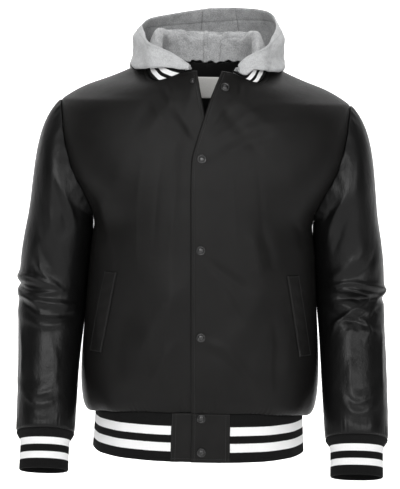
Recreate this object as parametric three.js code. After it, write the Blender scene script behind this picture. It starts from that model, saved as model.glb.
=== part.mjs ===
// Hooded varsity jacket, filled out as if it were worn by nobody.
// Millimetres, +Z up. The front faces -Y and the wearer's left side is +X.
// The origin is the middle of the neck opening, where the wearer's neck rises, just above the shoulders.
import * as THREE from "three";

// Driving sizes of the cut
const NECK_HALF = 102; // half the neck width, at the high shoulder points
const NECK_TOP = -13; // level of the high shoulder points
const SHOULDER_TIP = -88; // level of the shoulder points
const ARMPIT = -288;
const HEM_SEAM = -610; // body cloth to rib, at centre front
const HEM_RIB_HEIGHT = 84;
const COLLAR_HEIGHT = 42;
const CUFF_HEIGHT = 66;
const SNAP_INSET = 17; // snaps from the front edge
const TAB_RIGHT_END = 46.5; // far edges of the cloth tabs in the hem, from the centre line
const TAB_LEFT_END = 54;

// Walls and gaps
const BODY_CLOTH = 2;
const SLEEVE_LEATHER = 1.8;
const RIB_KNIT = 2.6;
const HOOD_FLEECE = 3;
const HOOD_HEM_EXTRA = 1.1; // the turned hem of the hood stands this much further out on each face
const SEAM_GAP = 0.34;
const ARMHOLE_GAP = 0.9;
const LAP_GAP = 1.3;
const COLLAR_GAP = 0.9; // the rib's thickness turns into the neck seam
const TAB_GAP = 0.2;
const PANEL_GAP = 0.25; // between the hood's panels, in degrees
const LABEL_GAP = 2.2;
const LABEL_TAPE = 0.8;
const WELT_CLOTH = 1.4;

// Snap fasteners
const SNAP_RADIUS = 7.6;
const SNAP_HEIGHT = 3.2;
const STUD_RADIUS = 4.4;
const SNAP_LEVELS = [-180, -332, -478]; // closed snaps on the lapped front
const HEM_SNAPS = [8, HEM_RIB_HEIGHT - 18]; // down from the rib's seam
const OPEN_CAP = { level: -62, inset: 17, seat: 0.34 }; // the open pair, each from its own front edge
const OPEN_STUD = { level: -53, inset: 10, seat: -0.7 }; // seated lower, where the cloth lies flatter

const rad = (degrees) => (degrees * Math.PI) / 180;
const mix = (a, b, t) => a + (b - a) * t;
const clamp = (x, low, high) => Math.min(Math.max(x, low), high);
const ease = (t) => {
  const c = clamp(t, 0, 1);
  return c * c * (3 - 2 * c);
};
const signedPower = (x, p) => Math.sign(x) * Math.abs(x) ** p;

// A smooth curve through one column of a table, read at any value of its first column.
function column(rows, along, name) {
  const sorted = [...rows].sort((a, b) => a[along] - b[along]);
  const t = sorted.map((r) => r[along]);
  const y = sorted.map((r) => r[name]);
  const last = sorted.length - 1;
  const slope = sorted.map((_, i) => {
    const a = Math.max(i - 1, 0);
    const b = Math.min(i + 1, last);
    return (y[b] - y[a]) / (t[b] - t[a]);
  });
  return (x) => {
    if (x <= t[0]) return y[0] + slope[0] * (x - t[0]);
    if (x >= t[last]) return y[last] + slope[last] * (x - t[last]);
    let i = 0;
    while (x > t[i + 1]) i += 1;
    const h = t[i + 1] - t[i];
    const s = (x - t[i]) / h;
    const back = 1 - s;
    return (
      y[i] * back * back * (1 + 2 * s) +
      y[i + 1] * s * s * (3 - 2 * s) +
      slope[i] * h * s * back * back -
      slope[i + 1] * h * s * s * back
    );
  };
}
const columns = (rows, along, ...names) =>
  Object.fromEntries(names.map((n) => [n, column(rows, along, n)]));

// The filled torso, a section at each level: half width, depth in front and behind, roundness of each
// half, and how far the cloth's pouch over the hem rib hangs below the level at the sides
const TORSO = [
  { level: HEM_SEAM, half: 182, front: 129, back: 112, frontPower: 2.3, backPower: 2.3, pouch: -3 },
  { level: -606, half: 188, front: 131, back: 115, frontPower: 2.3, backPower: 2.3, pouch: -18 },
  { level: -598, half: 197, front: 134.5, back: 119, frontPower: 2.3, backPower: 2.3, pouch: -27 },
  { level: -586, half: 204, front: 139, back: 123, frontPower: 2.3, backPower: 2.3, pouch: -24 },
  { level: -560, half: 208, front: 143, back: 125, frontPower: 2.3, backPower: 2.3, pouch: -12 },
  { level: -520, half: 207, front: 144, back: 124, frontPower: 2.3, backPower: 2.3, pouch: 0 },
  { level: -450, half: 202.4, front: 143, back: 123, frontPower: 2.3, backPower: 2.3, pouch: 0 },
  { level: -390, half: 198.6, front: 142, back: 124, frontPower: 2.3, backPower: 2.3, pouch: 0 },
  { level: -335, half: 194.2, front: 140, back: 127, frontPower: 2.3, backPower: 2.3, pouch: 0 },
  { level: ARMPIT, half: 191.4, front: 138, back: 129, frontPower: 2.3, backPower: 2.3, pouch: 0 },
  { level: -250, half: 214, front: 135, back: 130, frontPower: 2.4, backPower: 2.4, pouch: 0 },
  { level: -206, half: 238, front: 131, back: 128, frontPower: 2.55, backPower: 2.5, pouch: 0 },
  { level: -156, half: 250, front: 123, back: 122, frontPower: 2.5, backPower: 2.4, pouch: 0 },
  { level: -115, half: 253, front: 114, back: 115, frontPower: 2.2, backPower: 2.2, pouch: 0 },
  { level: SHOULDER_TIP, half: 250, front: 106, back: 108, frontPower: 1.9, backPower: 2, pouch: 0 },
  { level: -77, half: 237, front: 102, back: 104, frontPower: 1.72, backPower: 1.9, pouch: 0 },
  { level: -61, half: 208, front: 97, back: 98, frontPower: 1.5, backPower: 1.85, pouch: 0 },
  { level: -45, half: 166, front: 92, back: 90, frontPower: 1.33, backPower: 1.9, pouch: 0 },
  { level: -33, half: 138, front: 88, back: 84, frontPower: 1.28, backPower: 1.95, pouch: 0 },
  { level: -22, half: 117, front: 84, back: 79, frontPower: 1.28, backPower: 2, pouch: 0 },
  { level: NECK_TOP, half: NECK_HALF, front: 80, back: 76, frontPower: 1.3, backPower: 2, pouch: 0 },
];
const torsoAt = columns(TORSO, "level", "half", "front", "back", "frontPower", "backPower", "pouch");

// How far the pouch hangs at an angle, as a share of its most, at the sides.
const BACK_HANG = 0.6;
const hang = (angle) => {
  const s = Math.sin(rad(angle));
  const c = Math.cos(rad(angle));
  return s * s + (c < 0 ? BACK_HANG * c * c : 0);
};

// Point of the torso at an angle from centre front (positive to the wearer's left) and a level.
function torso(angle, level) {
  const s = Math.sin(rad(angle));
  const c = Math.cos(rad(angle));
  const inFront = c >= 0;
  const p = 2 / (inFront ? torsoAt.frontPower(level) : torsoAt.backPower(level));
  const depth = inFront ? torsoAt.front(level) : torsoAt.back(level);
  return new THREE.Vector3(
    torsoAt.half(level) * signedPower(s, p),
    -depth * signedPower(c, p),
    level + torsoAt.pouch(level) * hang(angle),
  );
}

// The angle on the torso that lies at a distance x from the centre line, in front or behind.
function angleAtX(x, level, behind = false) {
  const power = behind ? torsoAt.backPower(level) : torsoAt.frontPower(level);
  const share = clamp(Math.abs(x) / torsoAt.half(level), 0, 1);
  const angle = (Math.sign(x) * Math.asin(share ** (power / 2)) * 180) / Math.PI;
  return behind ? 180 - angle : angle;
}

// The angle on the torso that lies at a depth y, in front (y < 0) or behind.
function angleAtY(y, level) {
  const inFront = y < 0;
  const depth = inFront ? torsoAt.front(level) : torsoAt.back(level);
  const power = inFront ? torsoAt.frontPower(level) : torsoAt.backPower(level);
  const share = clamp(Math.abs(y) / depth, 0, 1);
  const angle = (Math.acos(share ** (power / 2)) * 180) / Math.PI;
  return inFront ? angle : 180 - angle;
}

// Armhole: turn 0 at the shoulder point, 90 in front, 180 at the armpit, 270 behind
const ARMHOLE = { front: 57, frontSkew: 0.33, back: 58, backSkew: 0.2, square: 0.85 };
const ARMHOLE_MIDDLE = (SHOULDER_TIP + ARMPIT) / 2;
const ARMHOLE_REACH = (SHOULDER_TIP - ARMPIT) / 2;
function armhole(turn) {
  const c = Math.cos(rad(turn));
  const s = Math.sin(rad(turn));
  const inFront = s >= 0;
  const reach = inFront ? ARMHOLE.front : ARMHOLE.back;
  const skew = inFront ? ARMHOLE.frontSkew : ARMHOLE.backSkew;
  const depth = reach * Math.abs(s) ** ARMHOLE.square * (1 - skew * c);
  const y = Math.max(depth, SEAM_GAP / 2) * (inFront ? -1 : 1);
  const level = ARMHOLE_MIDDLE + ARMHOLE_REACH * c;
  return { angle: angleAtY(y, level), level };
}

// Front and back neckline: distance from the centre line and level, from centre to high shoulder point
const FRONT_NECK = [
  { share: 0, x: 0, level: -35 },
  { share: 0.2, x: 30, level: -38 },
  { share: 0.4, x: 58, level: -46 },
  { share: 0.58, x: 80, level: -51 },
  { share: 0.72, x: 94, level: -46 },
  { share: 0.83, x: 101, level: -35 },
  { share: 0.92, x: 103, level: -23 },
  { share: 1, x: NECK_HALF, level: NECK_TOP },
];
const frontNeck = columns(FRONT_NECK, "share", "x", "level");
const BACK_NECK = [
  { share: 0, x: 0, level: -18 },
  { share: 0.35, x: 38, level: -17 },
  { share: 0.7, x: 78, level: -14.5 },
  { share: 1, x: NECK_HALF, level: NECK_TOP },
];
const backNeck = columns(BACK_NECK, "share", "x", "level");

// Front edges, distance from the centre line: fastened up to the first closed snap, fallen open above it
const OPEN_FROM = -185;
const LEFT_EDGE = [
  { level: -694, x: -11 },
  { level: HEM_SEAM, x: -13 },
  { level: -480, x: -16.5 },
  { level: -330, x: -20 },
  { level: OPEN_FROM, x: -22 },
  { level: -150, x: -14 },
  { level: -108, x: -1.5 },
  { level: -70, x: 11 },
  { level: -35, x: 24 },
];
const RIGHT_EDGE = [
  { level: -694, x: 21 },
  { level: HEM_SEAM, x: 19 },
  { level: -480, x: 15.5 },
  { level: -330, x: 12 },
  { level: OPEN_FROM, x: 10 },
  { level: -150, x: 7 },
  { level: -108, x: -1 },
  { level: -70, x: -9 },
  { level: -35, x: -15 },
];
const edgeX = {
  left: column(LEFT_EDGE, "level", "x"),
  right: column(RIGHT_EDGE, "level", "x"),
};

// The largest folds of the body cloth: centre (x from centre line, level), direction, size and height.
// lean turns the fold's long axis from upright, in degrees; a fold below 0 height is a trough.
const BODY_FOLDS = [
  { x: 74, level: -96, lean: -52, long: 62, wide: 11, height: 3.2 },
  { x: 52, level: -122, lean: -40, long: 58, wide: 9, height: -3 },
  { x: 112, level: -84, lean: -70, long: 46, wide: 12, height: -2.4 },
  { x: -92, level: -88, lean: 30, long: 40, wide: 10, height: -3.2 },
  { x: -70, level: -100, lean: 34, long: 44, wide: 9, height: 2.6 },
  { x: -168, level: -262, lean: 24, long: 70, wide: 13, height: 3 },
  { x: -150, level: -318, lean: 16, long: 90, wide: 16, height: -3 },
  { x: 172, level: -270, lean: -22, long: 70, wide: 14, height: 3 },
  { x: 148, level: -330, lean: -20, long: 96, wide: 17, height: -3.2 },
  { x: 92, level: -490, lean: 26, long: 110, wide: 18, height: -3.4 },
  { x: 60, level: -470, lean: 34, long: 100, wide: 16, height: 2.6 },
  { x: -80, level: -500, lean: -22, long: 95, wide: 18, height: 2.8 },
];
function bodyFold(x, level) {
  let height = 0;
  for (const f of BODY_FOLDS) {
    const dx = x - f.x;
    const dz = level - f.level;
    const along = (dz * Math.cos(rad(f.lean)) + dx * Math.sin(rad(f.lean))) / f.long;
    const across = (dx * Math.cos(rad(f.lean)) - dz * Math.sin(rad(f.lean))) / f.wide;
    height += f.height * Math.exp(-along * along - across * across);
  }
  return height;
}

// Cloth gathered into the hem rib: waves that fade out above the seam, uneven in height.
const GATHER = { top: -545, height: 1.5, waves: 9, seamFade: 14, atSeam: 0.25 };
const UNEVEN = [
  { height: 0.5, waves: 5.3, start: 20 },
  { height: 0.3, waves: 11.7, start: 0 },
];
function gather(angle, level) {
  const rise = ease((GATHER.top - level) / (GATHER.top - HEM_SEAM));
  const fade = rise * ease((level - HEM_SEAM) / GATHER.seamFade + GATHER.atSeam);
  const uneven = UNEVEN.reduce((sum, w) => sum + w.height * Math.sin(rad(angle * w.waves + w.start)), 1);
  return GATHER.height * fade * uneven * Math.cos(rad(angle * GATHER.waves));
}

// Surface normal of a shape(u, v), by small steps either side.
function normalOf(shape, u, v) {
  const h = 1e-3;
  const du = shape(u + h, v).sub(shape(u - h, v));
  const dv = shape(u, v + h).sub(shape(u, v - h));
  return du.cross(dv).normalize();
}

// A closed wall of cloth on a grid: the outer face is shape(u, v), the inner face lies one thickness
// behind it, and strips close the edges. A round wall has no edges along u. A trim keeps the inner
// face on its own side of a seam, and a notch says which cells of the grid are cut away.
function wall({ shape, across, up, thick, round, flip, trim, notch, facing }) {
  const thickness = typeof thick === "function" ? thick : () => thick;
  const ring = round ? across : across + 1;
  const outer = [];
  const inner = [];
  for (let j = 0; j <= up; j += 1) {
    for (let i = 0; i < ring; i += 1) {
      const u = i / across;
      const v = j / up;
      const p = shape(u, v);
      const n = facing ? facing(u, v) : normalOf(shape, u, v).multiplyScalar(flip ? -1 : 1);
      const q = p.clone().addScaledVector(n, -thickness(u, v));
      outer.push(p);
      inner.push(trim ? trim(q) : q);
    }
  }
  const points = [...outer, ...inner];
  const behind = outer.length;
  const at = (i, j) => j * ring + (i % ring);
  const present = (i, j) => {
    const inGrid = j >= 0 && j < up && (round || (i >= 0 && i < across));
    return inGrid && !(notch && notch(i, j));
  };
  const index = [];
  const quad = (a, b, c, d) => index.push(a, b, c, a, c, d);
  const rim = (p, q) => quad(p, behind + p, behind + q, q);
  for (let j = 0; j < up; j += 1) {
    for (let i = 0; i < across; i += 1) {
      if (present(i, j)) {
        const [a, b, c, d] = [at(i, j), at(i + 1, j), at(i + 1, j + 1), at(i, j + 1)];
        quad(a, b, c, d);
        quad(behind + a, behind + d, behind + c, behind + b);
        if (!present(i, j - 1)) rim(a, b);
        if (!present(i + 1, j)) rim(b, c);
        if (!present(i, j + 1)) rim(c, d);
        if (!present(i - 1, j)) rim(d, a);
      }
    }
  }
  if (flip) index.reverse();
  const geometry = new THREE.BufferGeometry();
  const flat = points.flatMap((p) => [p.x, p.y, p.z]);
  geometry.setAttribute("position", new THREE.Float32BufferAttribute(flat, 3));
  geometry.setIndex(index);
  geometry.computeVertexNormals();
  return geometry;
}

// Rows of the body panels, from the hem seam to the shoulder seam. Up the centre they end at the
// neckline, up the side at the armpit; the rest go round the neck and round the armhole.
const HEM_ROWS = [HEM_SEAM, -605, -598, -587];
const CENTRE_ROWS = [...HEM_ROWS, -564, -526, -472, -412, -354, -302, -254, -208, -166, -128, -94, -63];
const SIDE_ROWS = [...HEM_ROWS, -566, -532, -486, -434, -382, -332];
const NECK_ROWS = 6;
const PANEL_ROWS = CENTRE_ROWS.length + NECK_ROWS;
const ARMHOLE_ROWS = PANEL_ROWS - SIDE_ROWS.length;
// A level from a list of rows, with straight steps between the rows, ending at a last level.
function rowLevel(rows, last, row) {
  const list = [...rows, last];
  const i = clamp(Math.floor(row), 0, rows.length - 1);
  return mix(list[i], list[i + 1], row - i);
}
function outerEdge(row, behind) {
  if (row <= SIDE_ROWS.length) {
    const level = rowLevel(SIDE_ROWS, ARMPIT, row);
    return { angle: angleAtY(((behind ? 1 : -1) * SEAM_GAP) / 2, level), level };
  }
  const turn = 180 * (1 - (row - SIDE_ROWS.length) / ARMHOLE_ROWS);
  return armhole(behind ? 360 - turn : turn);
}

// A point of the neckline: share 0 at the front edge or centre back, 1 at the high shoulder point.
function neckline(side, share, behind) {
  if (behind) return { x: backNeck.x(share), level: backNeck.level(share) };
  const start = side * (side > 0 ? edgeX.left : edgeX.right)(FRONT_NECK[0].level);
  const x = mix(start, NECK_HALF, frontNeck.x(share) / NECK_HALF);
  return { x, level: frontNeck.level(share) };
}

// Front panel: u from its front edge to the side, v from the hem to the shoulder seam.
function frontPanel(side) {
  const edge = side > 0 ? edgeX.left : edgeX.right;
  return (u, v) => {
    const row = v * PANEL_ROWS;
    const out = outerEdge(row, false);
    let x;
    let level;
    if (row <= CENTRE_ROWS.length) {
      level = rowLevel(CENTRE_ROWS, FRONT_NECK[0].level, row);
      x = side * edge(level);
    } else {
      ({ x, level } = neckline(side, (row - CENTRE_ROWS.length) / NECK_ROWS, false));
    }
    const here = mix(level, out.level, u);
    const seam = angleAtY(-SEAM_GAP / 2, here);
    const from = Math.min(angleAtX(x, level), seam);
    return drape(side * Math.min(mix(from, out.angle, u), seam), here, side);
  };
}

// Back panel: u from the wearer's left side to the right side, v from the hem to the shoulder seams.
// Its two middle columns stand a little apart, and above the neckline the cells between them are cut
// away, so that the panel parts into its two shoulders.
const BACK_HALF = 14; // columns on each side
const BACK_ACROSS = 2 * BACK_HALF + 1;
const MIDDLE_SHARE = 0.03; // where the middle columns lie, from centre back to the side
function backPlace(u, v) {
  const step = u * BACK_ACROSS;
  const fromMiddle = Math.abs(step - BACK_ACROSS / 2) - 0.5;
  const side = step < BACK_ACROSS / 2 ? 1 : -1;
  const row = v * PANEL_ROWS;
  const out = outerEdge(row, true);
  const above = row > CENTRE_ROWS.length;
  const share = above ? fromMiddle / BACK_HALF : mix(MIDDLE_SHARE, 1, fromMiddle / BACK_HALF);
  let x = 0;
  let level = rowLevel(CENTRE_ROWS, BACK_NECK[0].level, row);
  if (above) ({ x, level } = neckline(side, (row - CENTRE_ROWS.length) / NECK_ROWS, true));
  const here = mix(level, out.level, share);
  const seam = angleAtY(SEAM_GAP / 2, here);
  const from = Math.max(angleAtX(x, level, true), seam);
  return { swing: side * Math.max(mix(from, out.angle, share), seam), here };
}
function backPanel(u, v) {
  const { swing, here } = backPlace(u, v);
  return torso(swing, here).addScaledVector(torsoNormal(swing, here), gather(swing, here));
}
function backFacing(u, v) {
  const { swing, here } = backPlace(u, v);
  return torsoNormal(swing, here);
}
const backNotch = (i, j) => i === BACK_HALF && j >= CENTRE_ROWS.length;

function torsoNormal(angle, level) {
  const h = 0.02;
  const du = torso(angle + h, level).sub(torso(angle - h, level));
  const dv = torso(angle, level + h).sub(torso(angle, level - h));
  return du.cross(dv).normalize();
}

// A front panel's point: the torso's, moved out by folds and gathers, and in where it runs under the
// other front. The folds fade towards the side, the hem, the neck and the front edge, and the edge
// stands out where the front has fallen open.
const FOLDS_END = { angle: 62, sideFade: 20, hemFade: 40, neckFade: 24, edge: 8, edgeFade: 26 };
const FALLEN_OPEN = { rise: 6, over: 130, reach: 46 };
const TAB_CLEAR = 20;
function drape(angle, level, side) {
  const p = torso(angle, level);
  const n = torsoNormal(angle, level);
  const x = p.x;
  const nearSide = 1 - ease((Math.abs(angle) - FOLDS_END.angle) / FOLDS_END.sideFade);
  const nearHem = ease((level - HEM_SEAM) / FOLDS_END.hemFade);
  const nearNeck = ease((FRONT_NECK[0].level - level) / FOLDS_END.neckFade);
  const fromEdge = Math.abs(x - (side > 0 ? edgeX.left : edgeX.right)(level));
  const nearEdge = ease((fromEdge - FOLDS_END.edge) / FOLDS_END.edgeFade);
  const opened = ease((level - OPEN_FROM) / FALLEN_OPEN.over) * (1 - ease(fromEdge / FALLEN_OPEN.reach));
  let out = bodyFold(x, level) * nearSide * nearHem * nearNeck * nearEdge;
  out += FALLEN_OPEN.rise * opened * nearSide;
  out += gather(angle, level) * ease((Math.abs(x) - TAB_RIGHT_END) / TAB_CLEAR) * nearSide;
  if (side < 0) out -= (BODY_CLOTH + LAP_GAP) * underLap(x, level);
  return p.addScaledVector(n, out);
}
// How far the right front has sunk below the left one: none well before the left front's edge, all
// at it.
const SINK = { before: 36, over: 24 };
const underLap = (x, level) => ease((x - edgeX.left(level) + SINK.before) / SINK.over);

// Sleeve: rings down the arm, given for the wearer's left; down is the level of the ring's middle
const SLEEVE = [
  { down: -290, x: 249, y: 3, wide: 55, deep: 70 },
  { down: -320, x: 252.5, y: 4, wide: 57, deep: 68 },
  { down: -355, x: 256.5, y: 4, wide: 58, deep: 66.5 },
  { down: -390, x: 259, y: 4, wide: 58, deep: 65 },
  { down: -420, x: 260.5, y: 1, wide: 57.5, deep: 63 },
  { down: -445, x: 261, y: -5, wide: 56.5, deep: 61.5 },
  { down: -475, x: 261.5, y: -15, wide: 55.5, deep: 60 },
  { down: -540, x: 262.5, y: -39, wide: 53, deep: 57 },
  { down: -600, x: 262.5, y: -62, wide: 51.5, deep: 54 },
  { down: -640, x: 262.5, y: -77.5, wide: 50.5, deep: 51 },
  { down: -656, x: 262.5, y: -84, wide: 49.5, deep: 47.5 },
];
const sleeveAt = columns(SLEEVE, "down", "x", "y", "wide", "deep");
const SLEEVE_TOP = -290;
const SLEEVE_END = -656;
const CAP_SHARE = 0.4; // share of the sleeve's rows above its first full ring
const ELBOW = -430;
const ARM_LEAN = { left: 0.04, right: 0 }; // the arm's swing outwards below the elbow, mm per mm
const FOREARM_GIRTH = { left: 1.045, right: 0.965 };
const ARM_ROUNDNESS = 2 / 2.2;
const swingOut = (down, hand) => ARM_LEAN[hand] * Math.max(ELBOW - down, 0);
const FOREARM = { below: 30, over: 100 }; // from the elbow, where the forearm's girth sets in
const girth = (down, hand) =>
  mix(1, FOREARM_GIRTH[hand], ease((ELBOW - FOREARM.below - down) / FOREARM.over));

// Folds of the sleeves at the elbow and above the cuff: level, turn round the arm (0 outside,
// 90 in front), slant in mm per degree, width down the arm, spread round the arm, and height
const SLEEVE_FOLDS = {
  right: [
    { level: -398, turn: 20, slant: -0.1, wide: 9, spread: 70, height: 6 },
    { level: -414, turn: 30, slant: -0.22, wide: 6, spread: 60, height: -8 },
    { level: -430, turn: 60, slant: -0.2, wide: 8, spread: 75, height: 5 },
    { level: -448, turn: 95, slant: -0.16, wide: 7, spread: 60, height: -6 },
    { level: -463, turn: 60, slant: -0.12, wide: 10, spread: 55, height: 4 },
    { level: -405, turn: 245, slant: 0.05, wide: 12, spread: 60, height: 3 },
    { level: -300, turn: 105, slant: 1.3, wide: 26, spread: 34, height: -4 },
    { level: -330, turn: 70, slant: 1.1, wide: 30, spread: 30, height: 4 },
    { level: -560, turn: 80, slant: 0.3, wide: 14, spread: 60, height: -3 },
    { level: -585, turn: 60, slant: -0.3, wide: 12, spread: 60, height: 2.5 },
  ],
  left: [
    { level: -404, turn: 60, slant: 0.08, wide: 9, spread: 80, height: 5 },
    { level: -418, turn: 40, slant: 0.1, wide: 6, spread: 80, height: -8 },
    { level: -434, turn: 85, slant: 0.25, wide: 8, spread: 50, height: 5.5 },
    { level: -452, turn: 100, slant: 0.3, wide: 7, spread: 60, height: -6 },
    { level: -468, turn: 85, slant: 0.2, wide: 10, spread: 50, height: 4.5 },
    { level: -410, turn: 245, slant: 0.05, wide: 12, spread: 60, height: 3 },
    { level: -290, turn: 110, slant: 1.2, wide: 26, spread: 34, height: -4 },
    { level: -335, turn: 75, slant: 1.2, wide: 30, spread: 30, height: 4 },
    { level: -560, turn: 85, slant: -0.25, wide: 13, spread: 60, height: -3 },
    { level: -590, turn: 70, slant: 0.3, wide: 12, spread: 60, height: 2.5 },
  ],
};
function sleeveFold(folds, turn, level) {
  let height = 0;
  for (const f of folds) {
    const away = ((turn - f.turn + 540) % 360) - 180;
    const down = (level - f.level - f.slant * away) / f.wide;
    const round = away / f.spread;
    height += f.height * Math.exp(-down * down - round * round);
  }
  return height;
}

// The forward slant of the arm's axis at a level, mm per mm.
const slantAt = (down) => (sleeveAt.y(down + 1) - sleeveAt.y(down - 1)) / 2;

// A point of the full sleeve rings: turn 0 is outside, 90 in front, 180 inside, 270 behind.
function ringPoint(turn, down, hand) {
  const slant = slantAt(down);
  const steep = Math.hypot(1, slant);
  const size = girth(down, hand);
  const wide = size * sleeveAt.wide(down) * signedPower(Math.cos(rad(turn)), ARM_ROUNDNESS);
  const deep = size * sleeveAt.deep(down) * signedPower(Math.sin(rad(turn)), ARM_ROUNDNESS);
  return new THREE.Vector3(
    sleeveAt.x(down) + swingOut(down, hand) + wide,
    sleeveAt.y(down) - deep / steep,
    down + (deep * slant) / steep,
  );
}

// The way the sleeve leaves the armhole at a turn, and how far that pull reaches
const LEAVE = [
  { turn: 0, x: 0.76, y: 0, z: -0.65, pull: 190 },
  { turn: 90, x: 0.62, y: -0.4, z: -0.68, pull: 150 },
  { turn: 150, x: 0.7, y: -0.25, z: -0.65, pull: 40 },
  { turn: 180, x: 0.95, y: 0, z: -0.3, pull: 6 },
  { turn: 210, x: 0.7, y: 0.25, z: -0.65, pull: 40 },
  { turn: 270, x: 0.62, y: 0.4, z: -0.68, pull: 150 },
  { turn: 360, x: 0.76, y: 0, z: -0.65, pull: 190 },
];
const leave = columns(LEAVE, "turn", "x", "y", "z", "pull");

// The folds are flatter on the inner side of the arm, by its turn.
const INNER_SIDE = { from: 120, to: 240, least: 0.25, half: 30 };
function calmAt(turn) {
  if (turn <= INNER_SIDE.from || turn >= INNER_SIDE.to) return 1;
  const away = ease((Math.abs(turn - 180) - INNER_SIDE.half) / INNER_SIDE.half);
  return mix(INNER_SIDE.least, 1, away);
}

// Sleeve surface: u round the arm, v from the armhole to the cuff. The cap is a cubic way from the
// armhole to the first full ring at each turn, and the folds fade in down it.
const CAP_FOLDS = { from: 0.2, over: 0.6 };
function sleeve(hand) {
  const folds = SLEEVE_FOLDS[hand];
  return (u, v) => {
    const turn = (((u % 1) + 1) % 1) * 360;
    if (v >= CAP_SHARE) {
      const down = mix(SLEEVE_TOP, SLEEVE_END, (v - CAP_SHARE) / (1 - CAP_SHARE));
      const p = ringPoint(turn, down, hand);
      const middle = new THREE.Vector3(sleeveAt.x(down), sleeveAt.y(down), down);
      const out = p.clone().sub(middle).normalize();
      return p.addScaledVector(out, sleeveFold(folds, turn, down) * calmAt(turn));
    }
    const t = v / CAP_SHARE;
    const hole = armhole(turn);
    const start = torso(hole.angle, hole.level);
    const way = new THREE.Vector3(leave.x(turn), leave.y(turn), leave.z(turn)).normalize();
    start.x += ARMHOLE_GAP;
    const end = ringPoint(turn, SLEEVE_TOP, hand);
    const further = ringPoint(turn, SLEEVE_TOP - 1, hand).sub(end).normalize();
    const pull = leave.pull(turn);
    const a = (1 + 2 * t) * (1 - t) ** 2;
    const b = t * t * (3 - 2 * t);
    const c = t * (1 - t) ** 2;
    const d = t * t * (1 - t);
    const p = start.multiplyScalar(a).addScaledVector(end, b);
    p.addScaledVector(way, pull * c).addScaledVector(further, -pull * d);
    const axis = new THREE.Vector3(sleeveAt.x(SLEEVE_TOP), sleeveAt.y(SLEEVE_TOP), p.z);
    const out = p.clone().sub(axis).normalize();
    const fade = ease((t - CAP_FOLDS.from) / CAP_FOLDS.over);
    return p.addScaledVector(out, sleeveFold(folds, turn, p.z) * fade);
  };
}

// Cuff: a rib tube below the sleeve, full at its seam and then drawn in
const CUFF = [
  { down: 0, wide: 49, deep: 45 },
  { down: 5, wide: 47.5, deep: 42 },
  { down: 15, wide: 41.5, deep: 33 },
  { down: 24, wide: 40.5, deep: 31 },
  { down: CUFF_HEIGHT, wide: 40.5, deep: 30.5 },
];
const cuffAt = columns(CUFF, "down", "wide", "deep");
function cuff(hand) {
  const slant = slantAt(SLEEVE_END);
  const steep = Math.hypot(1, slant);
  const size = girth(SLEEVE_END, hand);
  return (u, v) => {
    const turn = u * 360;
    const down = v * CUFF_HEIGHT;
    const wide = size * cuffAt.wide(down) * signedPower(Math.cos(rad(turn)), ARM_ROUNDNESS);
    const deep = size * cuffAt.deep(down) * signedPower(Math.sin(rad(turn)), ARM_ROUNDNESS);
    const along = down + SEAM_GAP;
    return new THREE.Vector3(
      sleeveAt.x(SLEEVE_END) + swingOut(SLEEVE_END, hand) + wide,
      sleeveAt.y(SLEEVE_END) - (deep + along * slant) / steep,
      SLEEVE_END - (along - deep * slant) / steep,
    );
  };
}

// Hem rib: an upright band drawn in below the body cloth, its ends sewn to two cloth tabs
const HEM_RIB = [
  { down: 0, half: 181.5, front: 128.5, back: 111.5 },
  { down: 20, half: 181.5, front: 128.5, back: 112.5 },
  { down: 50, half: 183, front: 129, back: 114 },
  { down: HEM_RIB_HEIGHT, half: 185, front: 128, back: 115 },
];
const hemAt = columns(HEM_RIB, "down", "half", "front", "back");
const HEM_POWER = 2.3;
function hemPoint(angle, down) {
  const p = 2 / HEM_POWER;
  const c = Math.cos(rad(angle));
  const s = Math.sin(rad(angle));
  const pouch = torsoAt.pouch(HEM_SEAM) * hang(angle);
  return new THREE.Vector3(
    hemAt.half(down) * signedPower(s, p),
    -(c >= 0 ? hemAt.front(down) : hemAt.back(down)) * signedPower(c, p),
    HEM_SEAM - SEAM_GAP - down + pouch * (1 - down / HEM_RIB_HEIGHT),
  );
}
// The angle on the hem rib that lies at a distance x from the centre line, at half its height.
function hemAngle(x) {
  const share = (Math.abs(x) / hemAt.half(HEM_RIB_HEIGHT / 2)) ** (HEM_POWER / 2);
  return (Math.sign(x) * Math.asin(share) * 180) / Math.PI;
}
function hemBand(fromX, toX, longWay) {
  const from = hemAngle(fromX);
  const to = hemAngle(toX) + (longWay ? -360 : 0);
  return (u, v) => hemPoint(mix(from, to, u), v * HEM_RIB_HEIGHT);
}
function hemTab(fromX, toX, under) {
  return (u, v) => {
    const x = mix(fromX, toX, u);
    const down = v * HEM_RIB_HEIGHT;
    const p = hemPoint(hemAngle(x), down);
    const inward = under ? (BODY_CLOTH + LAP_GAP) * underLap(x, HEM_SEAM - down) : 0;
    return p.add(new THREE.Vector3(0, inward, 0));
  };
}

// Collar, from centre front (turn 0) round to centre back (180): its height, and how far its free edge
// stands outside its seam (inside, below 0)
const COLLAR = [
  { turn: 8, tall: 3, lean: -0.5 },
  { turn: 14, tall: 4, lean: -1 },
  { turn: 30, tall: 17, lean: -6 },
  { turn: 45, tall: 30, lean: -10 },
  { turn: 60, tall: 40, lean: -14 },
  { turn: 90, tall: COLLAR_HEIGHT, lean: -16 },
  { turn: 112, tall: COLLAR_HEIGHT, lean: -6 },
  { turn: 135, tall: COLLAR_HEIGHT, lean: 4 },
  { turn: 180, tall: COLLAR_HEIGHT, lean: 10 },
];
const collarAt = columns(COLLAR, "turn", "tall", "lean");
const HOOD_FRONT = { right: 18, left: 34 }; // turns at which the hood's free edges meet the neck seam
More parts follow.
